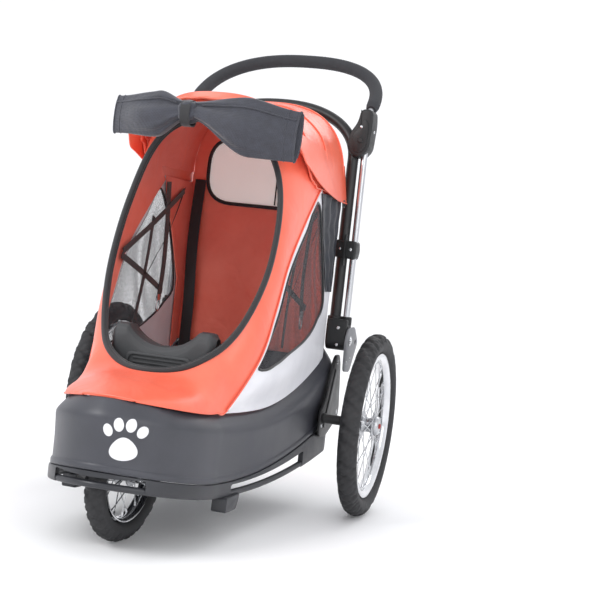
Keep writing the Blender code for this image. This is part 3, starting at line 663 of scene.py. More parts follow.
def build_chin_rest():
    def top_of(x):
        return min(0.442 - math.sqrt(max(0.09 ** 2 - min(abs(x), 0.0899) ** 2, 0)), 0.387)

    def place(u, v):
        x = (u - 0.5) * 0.209
        top = top_of(x)
        side = ease((0.1045 - abs(x)) / 0.013)
        section = [(-0.487, 0.262), (-0.4875, 0.300), (-0.4875, top - 0.022), (-0.4850, top - 0.010),
                   (-0.478, top - 0.002), (-0.458, top), (-0.440, top - 0.002), (-0.432, top - 0.011),
                   (-0.4285, top - 0.03), (-0.4285, 0.262)]
        k = v * (len(section) - 1)
        i = min(int(k), len(section) - 2)
        y, z = mix(section[i][0], section[i + 1][0], k - i), mix(section[i][1], section[i + 1][1], k - i)
        y = mix(-0.458, y, 0.5 + 0.5 * math.sqrt(side))
        return (x, y, max(z - 0.010 * (1 - side), 0.262))
    rest = surface(place, 90, 54)
    close_shell(rest)
    bmesh.ops.holes_fill(rest, edges=[e for e in rest.edges if e.is_boundary])
    finish_piece(rest, "chin_rest_scoop", "textured ABS", stands_for=["chin_rest"])
    # a raised plain frame with grooves between its ribs
    outline = rounded([(-0.072, 0.298), (0.072, 0.298), (0.064, 0.336), (-0.064, 0.336)], 0.010)
    badge = slab(outline, "Y", -0.4915, -0.485, 0.0018)
    hollow = slab([(x * 0.91, 0.317 + (z - 0.317) * 0.76) for x, z in outline], "Y", -0.498, -0.4885)
    badge = carve(badge, [hollow])
    ribs = [slab(rounded([(-0.052, z - 0.0018), (0.052, z - 0.0018), (0.052, z + 0.0018), (-0.052, z + 0.0018)],
                         0.0016), "Y", -0.4900, -0.487, 0.0006) for z in (0.309, 0.317, 0.325)]
    finish_piece(joined(badge, *ribs), "chin_rest_badge", "textured ABS")


# ---- the cabin: lines up its front, round its edge, and the side's window and gusset ----
WEBBING = 0.0015
FRONT = [(0, -0.706, 0.274), (0, -0.62, 0.293), (0, -0.545, 0.314), (0, -0.505, 0.350), (0, -0.470, 0.400),
         (0, -0.430, 0.470), (0, -0.392, 0.560), (0, -0.360, 0.660), (0, -0.338, 0.760), (0, -0.322, 0.856)]
EDGE = [(0.050, -0.694, 0.270), (0.110, -0.640, 0.260), (0.133, -0.575, 0.251), (0.139, -0.525, 0.248),
        (0.145, -0.483, 0.252), (0.171, -0.398, 0.345), (0.1765, -0.345, 0.440), (0.178, -0.298, 0.530),
        (0.178, -0.215, 0.615), (0.178, -0.128, 0.690)]
WINDOW = [(-0.128, 0.660), (-0.205, 0.598), (-0.290, 0.512), (-0.335, 0.425), (-0.402, 0.330), (-0.310, 0.333),
          (-0.224, 0.350), (-0.130, 0.375), (-0.053, 0.412), (-0.010, 0.470)]
GUSSET = [(-0.118, 0.702), (0.052, 0.702), (0.052, 0.495), (0.006, 0.478)]


def at(points, s):
    """Point at share s of a smooth line."""
    n = len(points) - 1
    t = min(max(s, 0), 1) * n
    k = min(int(t), n - 1)
    return bend(*(Vector(points[min(max(k + j, 0), n)]) for j in (-1, 0, 1, 2)), t - k)


def front_skin(u, s):
    """The front fabric: across u from -1 to 1, up s from the nose to the canopy."""
    middle, edge = at(FRONT, s), at(EDGE, s)
    power = mix(2.2, 3.6, ease((s - 0.15) / 0.35)) if s < 0.7 else mix(3.6, 2.6, ease((s - 0.7) / 0.3))
    c, n = power_curve(abs(u) * math.pi / 2, power)
    c, n = max(c, 0), min(abs(n), 1)
    x = math.copysign(edge.x * n, u)
    y = middle.y + (edge.y - middle.y) * (1 - c)
    z = edge.z + (middle.z - edge.z) * c
    # slack between the edge and the opening
    slack = 0.0035 * math.sin(s * 23 + u * 2) * math.sin(min(abs(u), 1) * math.pi) * ease(s * 4)
    return Vector((x, y - slack, z))


CANOPY_HALF, CANOPY_RISE, CANOPY_FALL, CANOPY_POWER = 0.1795, 0.205, 0.13, 2.7


def canopy_trim(y):
    """Height of the canopy's lower edge, which climbs towards the brim."""
    line = [(-0.345, 0.842), (-0.315, 0.800), (-0.275, 0.748), (-0.20, 0.700), (-0.15, 0.686), (0.2, 0.684)]
    for (a, za), (b, zb) in zip(line, line[1:]):
        if y <= b:
            return mix(za, zb, ease((y - a) / (b - a)) if za != zb else 0)
    return 0.684


def arch_point(y, angle, grow=0.0):
    """Point on the canopy's round section; grow moves it outwards."""
    c, n = power_curve(angle, CANOPY_POWER)
    lower = CANOPY_FALL * max(CABIN_BACK_Y - y, 0)
    return Vector(((CANOPY_HALF + grow) * c, y, CANOPY_BASE_Z + (CANOPY_RISE + grow) * n - lower * n))


def canopy_skin(u, v, grow=0.0):
    """The canopy: u across from one side's trim to the other's, v from the back to the brim."""
    y = mix(0.046, -0.335, v)
    trim = canopy_trim(y)
    low = 0.0
    while arch_point(y, low).z < trim and low < 1.2:
        low += 0.02
    angle = mix(low, math.pi - low, u)
    point = arch_point(y, angle, grow)
    sag = 0.004 * math.sin(v * math.pi) * (1 - (2 * u - 1) ** 2)
    point.z -= sag - 0.0015 * math.sin(v * 31) * math.sin(u * math.pi * 9)
    return point


def wall_skin(t, v, side=1):
    """A side of the cabin: t from the front seam to the rear, v from the tub's rim up."""
    # halving finds the place on the front seam that stands at height v
    low, high = 0.4, 1.0
    for _ in range(18):
        s = (low + high) / 2
        edge = at(EDGE, s)
        floor = rim_z(edge.y) + 0.003
        if (edge.z - floor) / (WALL_TOP_Z - floor) < v:
            low = s
        else:
            high = s
    edge = at(EDGE, s)
    y = mix(edge.y, CABIN_BACK_Y, t)
    floor = rim_z(y) + 0.003
    z = mix(floor, WALL_TOP_Z, v)
    tuck = 1 - ease((z - floor) / 0.07)
    x = min(mix(CABIN_HALF, tub_half(min(y, 0.05)) - 0.016, tuck), CABIN_HALF + 0.0005)
    x = mix(edge.x, x, ease(t * 8))
    x += 0.003 * math.sin(t * 9 + v * 7) * math.sin(t * math.pi) * math.sin(v * math.pi)
    return Vector((side * x, y, z))


def side_tree(side):
    """Search tree of one side's surface, to lay bindings and pleats on."""
    bm = surface(lambda u, v: wall_skin(u, v, side), 40, 30)
    tree = BVHTree.FromBMesh(bm)
    bm.free()
    return tree


def on_side(tree, side, y, z, lift=0.0):
    """Point on a side at this length and height."""
    hit = tree.ray_cast(Vector((side * 0.4, y, z)), Vector((-side, 0, 0)))[0]
    return (hit.x if hit else side * CABIN_HALF) + side * lift, y, z


def build_cabin_front(sizes):
    """The coated front panel with its bound oval opening, piping and hem."""
    skin = close_shell(surface(lambda u, v: front_skin(2 * u - 1, v), 84, 96, (0.42, 0.75)))
    tree = BVHTree.FromBMesh(skin)
    skin = thicken(skin, 0.0022)
    oval = ring_outline(0, OPENING_Z, sizes.opening_width / 2, sizes.opening_height / 2, OPENING_POWER, 96)
    skin = carve(skin, [slab(oval, "Y", -0.9, -0.18)])
    panel = finish_piece(skin, "cabin_front_panel", "coated polyester", stands_for=["cabin_front"])
    cloth_sheet(panel, (0.46, 0.80))
    edge = []
    for x, z in oval:
        hit = tree.ray_cast(Vector((x * 0.995, -1.2, OPENING_Z + (z - OPENING_Z) * 0.995)), Vector((0, 1, 0)))[0]
        edge.append((x, hit.y - 0.001, z))
    edge = smooth_path(edge, 160, True)
    binding = finish_piece(tube(edge, 0.0058, True), "opening_rim", "nylon webbing", stands_for=["opening_binding"])
    crumple(binding)
    # a pressed cord inside the rim and a stitch line outside it
    inner = tube([(x * 0.972, y + 0.004, OPENING_Z + (z - OPENING_Z) * 0.98) for x, y, z in edge], 0.0028, True)
    soft_piece(inner, "opening_inner_cord", "nylon webbing")
    for name, finish, lift, radius in (("front_piping", "white coated polyester", 0.0, 0.0023),
                                       ("front_welt", "coated polyester", 0.007, 0.0016)):
        lines = []
        for side in (-1, 1):
            pts = [at(EDGE, s) for s in spread(0.44, 1.0, 70)]
            lines.append(tube([(side * (p.x + 0.0012), p.y - lift, p.z) for p in pts], radius))
        soft_piece(joined(*lines), name, finish)
    hem = [front_skin(u, 0.004) + Vector((0, 0, 0.001)) for u in spread(-1, 1, 30)]
    pts = [at(EDGE, s) for s in spread(0.0, 0.44, 40)]
    loop = [Vector((-p.x, p.y, p.z)) for p in reversed(pts)] + hem[2:-2] + pts
    soft_piece(tube(loop, 0.0018), "nose_hem", "coated polyester")


def build_lining():
    """Red inside of the front and the side strips, just behind the outer fabric."""
    def inside(u, v):
        p = front_skin(2 * u - 1, mix(0.36, 0.99, v))
        return Vector((p.x * 0.982, p.y + 0.006, p.z - 0.003))
    skin = close_shell(surface(inside, 60, 60, (0.42, 0.5)))
    skin = thicken(skin, 0.0012)
    oval = ring_outline(0, OPENING_Z, 0.1665, 0.2495, OPENING_POWER, 96)
    skin = carve(skin, [slab(oval, "Y", -0.9, -0.10)])
    piece = finish_piece(skin, "front_lining", "taffeta lining")
    cloth_sheet(piece, (0.46, 0.62))


def build_sides():
    for side, name in SIDES:
        tree = side_tree(side)

        def wall():
            bm = close_shell(surface(lambda u, v: wall_skin(u, v, side), 64, 56, (0.45, 0.45)))
            bm = thicken(bm, 0.0018)
            return bm
        window = smooth_path([(0, y, z) for y, z in WINDOW], 70, True)
        window = [(p.y, p.z) for p in window]
        gusset = rounded(GUSSET, 0.01)
        low, high = side * 0.05, side * 0.3
        panel = carve(wall(), [slab(window, "X", low, high), slab(gusset, "X", low, high)])
        piece = finish_piece(panel, f"lower_panel_{name}", "white coated polyester",
                             stands_for=[f"side_panel_{name}"])
        cloth_sheet(piece, (0.62, 0.46))
        veil = carve(wall(), [slab(window, "X", low, high)], "INTERSECT")
        piece = finish_piece(veil, f"window_mesh_{name}", "insect mesh", stands_for=[f"side_window_{name}"])
        cloth_sheet(piece, (0.42, 0.36))
        bound = tube([on_side(tree, side, y, z, 0.0006) for y, z in window], 0.0026, True)
        soft_piece(bound, f"window_binding_{name}", "nylon webbing")

        def pleat(u, v):
            y = mix(mix(-0.122, 0.048, u), mix(0.0, 0.052, u), v)
            z = mix(mix(0.686, 0.690, u), 0.478, v)
            x, y, z = on_side(tree, side, min(y, 0.0425), z)
            fold = 0.0035 * math.sin(u * 19 + v * 2.5 + 1.2 * math.sin(v * 5)) + 0.0012 * math.sin(v * 26 + u * 5)
            return Vector((x + side * (fold * math.sin(math.pi * min(max(u, 0.03), 0.97)) ** 0.5 + 0.0024), y, z))
        piece = finish_piece(surface(pleat, 44, 60, (0.14, 0.26)), f"pleated_gusset_{name}", "navy ripstop",
                             wall=0.0012, crease=60)
        cloth_sheet(piece, (0.17, 0.30))
        # the lining strip inside the wall, above the window's lower edge
        strip = [(-0.130, 0.700), (0.042, 0.700), (0.042, 0.33), (0.0, 0.30), (-0.006, 0.470), (-0.118, 0.660)]
        line = carve(wall(), [slab(strip, "X", low, high)], "INTERSECT")
        bmesh.ops.translate(line, vec=(-side * 0.005, 0, 0), verts=line.verts)
        piece = finish_piece(line, f"wall_lining_{name}", "taffeta lining")
        cloth_sheet(piece, (0.17, 0.40))


def build_canopy():
    skin = surface(canopy_skin, 90, 64, (0.58, 0.38))
    piece = finish_piece(skin, "canopy_panel", "coated polyester", stands_for=["canopy"], wall=0.002)
    cloth_sheet(piece, (0.66, 0.42))
    under = surface(lambda u, v: canopy_skin(mix(0.02, 0.98, u), mix(0.03, 0.97, v), -0.0045), 60, 30, (0.55, 0.36))
    piece = finish_piece(under, "canopy_lining", "taffeta lining", wall=0.001)
    cloth_sheet(piece, (0.66, 0.42))
    brim = [canopy_skin(u, 1.0, 0.0006) for u in spread(0, 1, 80)]
    soft_piece(tube(brim, 0.0036), "canopy_brim", "coated polyester")
    seams = []
    for v in (0.0, 0.36, 0.70):
        seams.append(tube([canopy_skin(u, v, 0.0012) for u in spread(0.0, 1.0, 70)], 0.0020))
    for u in (0.0, 1.0):
        seams.append(tube([canopy_skin(u, v, 0.0008) for v in spread(0, 1, 60)], 0.0022))
    soft_piece(joined(*seams), "canopy_welts", "coated polyester")
    # the loose flap that hangs over each side of the brim
    for side, name in SIDES:
        def flap(u, v):
            y = mix(-0.332, 0.060, u)
            low = at([(-0.358, 0.744), (-0.275, 0.729), (-0.193, 0.706), (-0.111, 0.690), (0.0, 0.681),
                      (0.06, 0.679)], (y + 0.358) / 0.418)[1]
            low += 0.020 * ease((0.10 - u) * 10)
            z = mix(low, mix(0.800, 0.760, u), v)
            n = (z - CANOPY_BASE_Z) / (CANOPY_RISE - CANOPY_FALL * max(CABIN_BACK_Y - y, 0))
            x = CANOPY_HALF * (1 - min(max(n, 0), 0.98) ** CANOPY_POWER) ** (1 / CANOPY_POWER)
            lift = 0.0015 + 0.009 * (1 - v) ** 1.6 + 0.0008 * math.sin(u * 11 + 1) * (1 - v)
            return Vector((side * (x + lift), y, z + 0.0015 * v))
        piece = surface(flap, 60, 22, (0.39, 0.09))
        piece = finish_piece(piece, f"side_flap_{name}", "coated polyester", wall=0.0018)
        cloth_sheet(piece, (0.40, 0.105))
        edge = tube([flap(u, 0) for u in spread(0, 1, 60)], 0.0017)
        soft_piece(edge, f"side_flap_hem_{name}", "coated polyester")
        # small fastening loop at the rear corner
        ring = ring_outline(0.040, 0.676, 0.0095, 0.0075, 2, 24)
        loop = tube([(side * 0.1885, y, z) for y, z in ring], 0.0016, True)
        soft_piece(loop, f"flap_loop_{name}", "nylon webbing")


def build_back():
    window = rounded([(-0.138, 0.800), (0.138, 0.800), (0.138, 0.652), (-0.138, 0.652)], 0.062, 9)

    def back(u, v):
        x = (2 * u - 1)
        rise = max(1 - abs(x) ** CANOPY_POWER, 0) ** (1 / CANOPY_POWER)
        top = CANOPY_BASE_Z + 0.203 * rise
        z = mix(rim_z(CABIN_BACK_Y) + 0.003, top, v)
        return Vector((x * 0.176, CABIN_BACK_Y + 0.004 * math.sin(v * math.pi) * math.cos(x * 1.5), z))
    panel = close_shell(surface(back, 60, 60, (0.36, 0.56)))
    panel = thicken(panel, 0.002)
    cut = carve(panel, [slab(window, "Y", -0.1, 0.2)])
    piece = finish_piece(cut, "back_panel_outer", "coated polyester", stands_for=["back_panel"])
    cloth_sheet(piece, (0.37, 0.58))
    panel = close_shell(surface(lambda u, v: back(mix(0.01, 0.99, u), mix(0.01, 0.985, v)) - Vector((0, 0.005, 0)),
                                60, 60, (0.36, 0.56)))
    panel = thicken(panel, 0.001)
    piece = finish_piece(carve(panel, [slab(window, "Y", -0.1, 0.2)]), "back_lining", "taffeta lining")
    cloth_sheet(piece, (0.37, 0.58))

    def pane(u, v):
        return Vector((mix(-0.139, 0.139, u), 0.0415 + 0.004 * math.sin(math.pi * u), mix(0.649, 0.803, v)))
    piece = finish_piece(surface(pane, 30, 14, (0.28, 0.12)), "rear_window_pane", "pale window film", wall=0.0012)
    cloth_sheet(piece, (0.285, 0.16))
    rims = [tube([(x, y, z) for x, z in window], 0.0042, True) for y in (0.0375, 0.0465)]
    rims += [tube([(x, 0.0385, 0.768), (x, 0.0385, 0.658)], 0.0018) for x in (0.028, 0.036)]
    soft_piece(joined(*rims), "rear_window_binding", "nylon webbing")


def build_door():
    """The mesh door rolled up under the brim and tied in the middle like a bow."""
    def half(side):
        near, far = (-0.036, -0.200) if side < 0 else (-0.026, 0.186)

        def place(u, v):
            angle = v * 2 * math.pi
            if side < 0:
                height = mix(0.017, 0.044, ease(u * 2.6)) * mix(1, 0.84, ease(u * 1.6 - 0.5))
                mid = mix(0.806, 0.796, ease(u * 2)) - 0.004 * u
            else:
                height = mix(0.017, 0.056, ease(u * 1.7)) * mix(1, 0.86, ease(u * 2 - 1))
                mid = mix(0.806, 0.783, ease(u * 1.7)) - 0.008 * ease(u * 2 - 1)
            depth = mix(0.014, 0.026, ease(u * 2)) * mix(1, 0.22, ease(u * 2 - 1))
            fold = 1 + 0.20 * math.sin(angle * 4 + u * 1.6) * mix(1.3, 0.5, u)
            fold += 0.09 * math.sin(angle * 9 - u * 3) * (1.2 - u)
            x = mix(near, far, u) + 0.004 * math.sin(angle + 1) * u
            c, s = power_curve(angle, 2.6)
            return Vector((x, -0.392 + 0.10 * (x / 0.19) ** 2 * 0.35 + depth * c * fold,
                           mid + height * s * (0.86 + 0.14 * fold)))
        return place

    for side, name in SIDES:
        place = half(side)
        skin = surface(place, 70, 132, (0.16, 0.26))
        end = [e for e in close_shell(skin).edges if e.is_boundary]
        far = [e for e in end if abs(e.verts[0].co.x) > 0.1]
        inner = bmesh.ops.extrude_edge_only(skin, edges=far)
        for vert in [g for g in inner["geom"] if isinstance(g, bmesh.types.BMVert)]:
            centre = Vector((vert.co.x - side * 0.05, -0.365, 0.785))
            vert.co = vert.co.lerp(centre, 0.38)
        piece = finish_piece(skin, f"rolled_door_{name}", "bunched knit mesh",
                             stands_for=["door_roll"] if side < 0 else [], wall=0.0014, crease=80)
        hem = joined(*[tube([place(w, v) for v in spread(0, 1, 90)][:-1], r, True)
                       for w, r in ((0.992, 0.0018), (0.90, 0.0010))])
        seam = tube([place(u, 0.40) - Vector((0, 0.0015, 0)) for u in spread(0.12, 0.98, 30)], 0.0014)
        hem = finish_piece(joined(hem, seam), f"rolled_door_hem_{name}", "bunched knit mesh", slot="black_webbing")
        cloth_sheet(piece, (0.24, 0.34))
        crumple(hem)

    def knot(u, v):
        a, b = u * 2 * math.pi, (v - 0.5) * math.pi
        pinch = 1 + 0.10 * math.sin(a * 5 + v * 3)
        c, s = power_curve(a, 2.3)
        return Vector((-0.031 + 0.0175 * math.sin(b) * 1.1,
                       -0.392 + 0.022 * math.cos(b) ** 0.5 * c * pinch if abs(b) < 1.57 else -0.392,
                       0.804 + 0.022 * max(math.cos(b), 0) ** 0.5 * s * pinch))
    soft_piece(surface(knot, 48, 24), "door_knot", "bunched knit mesh", crease=80)

    def band(u, v):
        a = u * 2 * math.pi
        c, s = power_curve(a, 2.6)
        return Vector((-0.031 + (v - 0.5) * 0.019, -0.392 + 0.0235 * c, 0.800 + 0.0255 * s))
    soft_piece(surface(band, 56, 3), "door_tie_band", "nylon webbing", stands_for=["roll_tie"], wall=0.0016)


def strap(points, across, width):
    """Flat webbing along the points, lying across the given direction."""
    path = [Vector(p) for p in points]
    across = Vector(across).normalized() * width

    def place(u, v):
        t = v * (len(path) - 1)
        k = min(int(t), len(path) - 2)
        return path[k].lerp(path[k + 1], t - k) + across * (u - 0.5)
    return surface(place, 4, len(path) - 1, (width, 0.3))


def build_straps():
    for side, name in SIDES:
        x = side * 0.1685
        line = smooth_path([(x, -0.118, 0.680), (side * 0.163, -0.120, 0.60), (side * 0.160, -0.122, 0.50),
                            (side * 0.164, -0.121, 0.425)], 40)
        soft_piece(strap(line, (0, 1, 0.1), 0.022), f"tether_{name}", "nylon webbing",
                   stands_for=[f"tether_strap_{name}"], wall=WEBBING)
        cross = smooth_path([(x, -0.02, 0.672), (side * 0.163, -0.08, 0.60), (side * 0.161, -0.16, 0.52),
                             (side * 0.164, -0.22, 0.455)], 40)
        soft_piece(strap(cross, (0, 0.7, 0.7), 0.016), f"tether_cross_{name}", "nylon webbing", wall=WEBBING)
        for k, (high, low) in enumerate((((-0.03, 0.668), (-0.33, 0.520)), ((-0.19, 0.60), (-0.245, 0.36)),
                                         ((-0.335, 0.512), (-0.10, 0.44)))):
            line = [(side * (0.166 - 0.004 * math.sin(t * math.pi)), mix(high[0], low[0], t), mix(high[1], low[1], t))
                    for t in spread(0, 1, 24)]
            lay = Vector((0, high[1] - low[1], low[0] - high[0]))
            soft_piece(strap(line, lay, 0.013), f"window_strap_{name}_{k + 1}", "nylon webbing", wall=WEBBING)
        ring = ring_outline(-0.121, 0.409, 0.009, 0.013, 2.2, 32)
        hook = tube([(side * 0.164, y, z) for y, z in ring], 0.0017, True)
        bar = slab(rounded([(-0.130, 0.420), (-0.112, 0.420), (-0.110, 0.434), (-0.132, 0.434)], 0.004), "X",
                   side * 0.1615, side * 0.1665, 0.001)
        soft_piece(joined(hook, bar), f"tether_clip_{name}", "stainless steel", stands_for=[f"tether_hook_{name}"])
    x = -0.150
    line = smooth_path([(x, 0.026, 0.70), (x - 0.002, 0.020, 0.56), (x + 0.002, 0.024, 0.40), (x, 0.026, 0.25)], 40)
    soft_piece(strap(line, (1, 0, 0), 0.026), "rear_band", "nylon webbing", wall=WEBBING)


def build_cushion():
    low, high = TUB_FLOOR_Z, 0.236

    def place(u, v):
        y = mix(-0.418, 0.038, v)
        side = 2 * u - 1
        half = tub_half(y) - 0.042
        edge = 1 - max(abs(side), abs(2 * v - 1)) ** 6
        tuft = 0.0035 * (math.cos(side * math.pi * 2.5) * math.cos(v * math.pi * 6)) * edge
        return Vector((side * half * (0.95 + 0.05 * edge), y, mix(low + 0.010, high - 0.004, edge ** 0.5) + tuft))
    top = close_shell(surface(place, 72, 84, (0.3, 0.46)))
    bottom = [e for e in top.edges if e.is_boundary]
    skirt = bmesh.ops.extrude_edge_only(top, edges=bottom)
    for vert in [g for g in skirt["geom"] if isinstance(g, bmesh.types.BMVert)]:
        vert.co.z = low + 0.001
    bmesh.ops.edgeloop_fill(top, edges=[e for e in top.edges if e.is_boundary])
    pad = finish_piece(top, "cabin_cushion", "plush pile", stands_for=["floor_cushion"], crease=70)
    puff(pad, 0.006)
    line = [(s * (tub_half(y) - 0.0425), y, low + 0.013) for s, y in
            [(1, y) for y in spread(-0.412, 0.032, 30)] + [(-1, y) for y in spread(0.032, -0.412, 30)]]
    finish_piece(tube(line, 0.0022, True), "cushion_piping", "nylon webbing")


def puff(obj, cap):
    """Swells a pad with cloth pressure, holding each point to a small move."""
    scene = bpy.context.scene
    remesh = obj.modifiers.new("even", "REMESH")
    remesh.mode, remesh.voxel_size = "VOXEL", 0.006
    depsgraph = bpy.context.evaluated_depsgraph_get()
    mesh = bpy.data.meshes.new_from_object(obj.evaluated_get(depsgraph))
    obj.modifiers.clear()
    copy = bpy.data.objects.new("puffed", mesh)
    scene.collection.objects.link(copy)
    rest = [v.co.copy() for v in mesh.vertices]
    cloth = copy.modifiers.new("cloth", "CLOTH")
    cloth.settings.use_pressure = True
    cloth.settings.uniform_pressure_force = 4
    cloth.settings.effector_weights.gravity = 0
    for number in range(1, 16):
        scene.frame_set(number)
    moved = copy.evaluated_get(bpy.context.evaluated_depsgraph_get()).data
    done = [v.co.copy() for v in moved.vertices]
    copy.modifiers.clear()
    for vert, before, after in zip(mesh.vertices, rest, done):
        step = after - before
        if step.length > cap:
            step *= cap / step.length
        vert.co = before + step
        vert.co.z = min(max(vert.co.z, TUB_FLOOR_Z), 0.244)
    scene.frame_set(1)
    old, mat = obj.data, obj.data.materials[0]
    mesh.materials.clear()
    mesh.materials.append(mat)
    mesh.shade_smooth()
    obj.data = mesh
    bpy.data.objects.remove(copy)
    bpy.data.meshes.remove(old)


# ---- the folding frame ----
def handle_loop(count):
    """Points along the middle of the handle's rounded loop."""
    points = []
    for i in range(count):
        c, s = power_curve(math.pi * (i / (count - 1)), 2.4)
        points.append(Vector((0.211 * c, 0.105 + 0.220 * s * math.sin(HANDLE_LEAN),
                              0.897 + 0.220 * s * math.cos(HANDLE_LEAN))))
    return points


def build_frame():
    arch = [(0.190, PIVOT_Y, z) for z in spread(0.4205, 0.70, 10)]
    for a in spread(0.0, math.pi, 90):
        c, s = power_curve(a, 2.3)
        arch.append((0.190 * c, mix(PIVOT_Y, 0.100, s), 0.770 + 0.125 * s))
    arch += [(-0.190, PIVOT_Y, z) for z in spread(0.70, 0.4205, 10)]
    finish_piece(tube(arch, 0.0125, sides=6), "upright_arch_tube", "black powder coat", "frame", ["upright_arch"])
    legs = [(0.215, 0.075, 0.4205), (0.215, 0.0745, 0.56), (0.215, 0.073, 0.740), (0.214, 0.077, 0.785),
            (0.212, 0.089, 0.850), (0.211, 0.101, 0.892)]
    leg = smooth_path(legs, 40)
    path = leg + handle_loop(80)[1:-1] + [Vector((-p.x, p.y, p.z)) for p in reversed(leg)]
    finish_piece(tube(path, 0.0075, sides=5), "handle_rail", "anodised aluminium", "frame", ["handle_tube"])
    # foam sleeve: a slightly swollen, softly ribbed tube round the loop
    core = handle_loop(200)
    frames = []
    for i, p in enumerate(core):
        along = (core[min(i + 1, 199)] - core[max(i - 1, 0)]).normalized()
        a = Vector((0, math.cos(HANDLE_LEAN), -math.sin(HANDLE_LEAN)))
        frames.append((p, a, along.cross(a).normalized()))

    def foam(u, v):
        p, a, b = frames[min(round(v * 199), 199)]
        end = min(v, 1 - v) * 60
        r = 0.0152 * (min(1.0, 0.72 + 0.28 * math.sqrt(max(min(end, 1), 0)))) + 0.00018 * math.sin(v * 620)
        angle = u * 2 * math.pi
        return p + a * math.cos(angle) * r + b * math.sin(angle) * r
    sleeve = close_shell(surface(foam, 24, 199, (0.095, 0.75)))
    bmesh.ops.holes_fill(sleeve, edges=[e for e in sleeve.edges if e.is_boundary])
    finish_piece(sleeve, "foam_sleeve", "EVA foam", "frame", ["handle_grip"], crease=60)
    build_joints_of_frame()


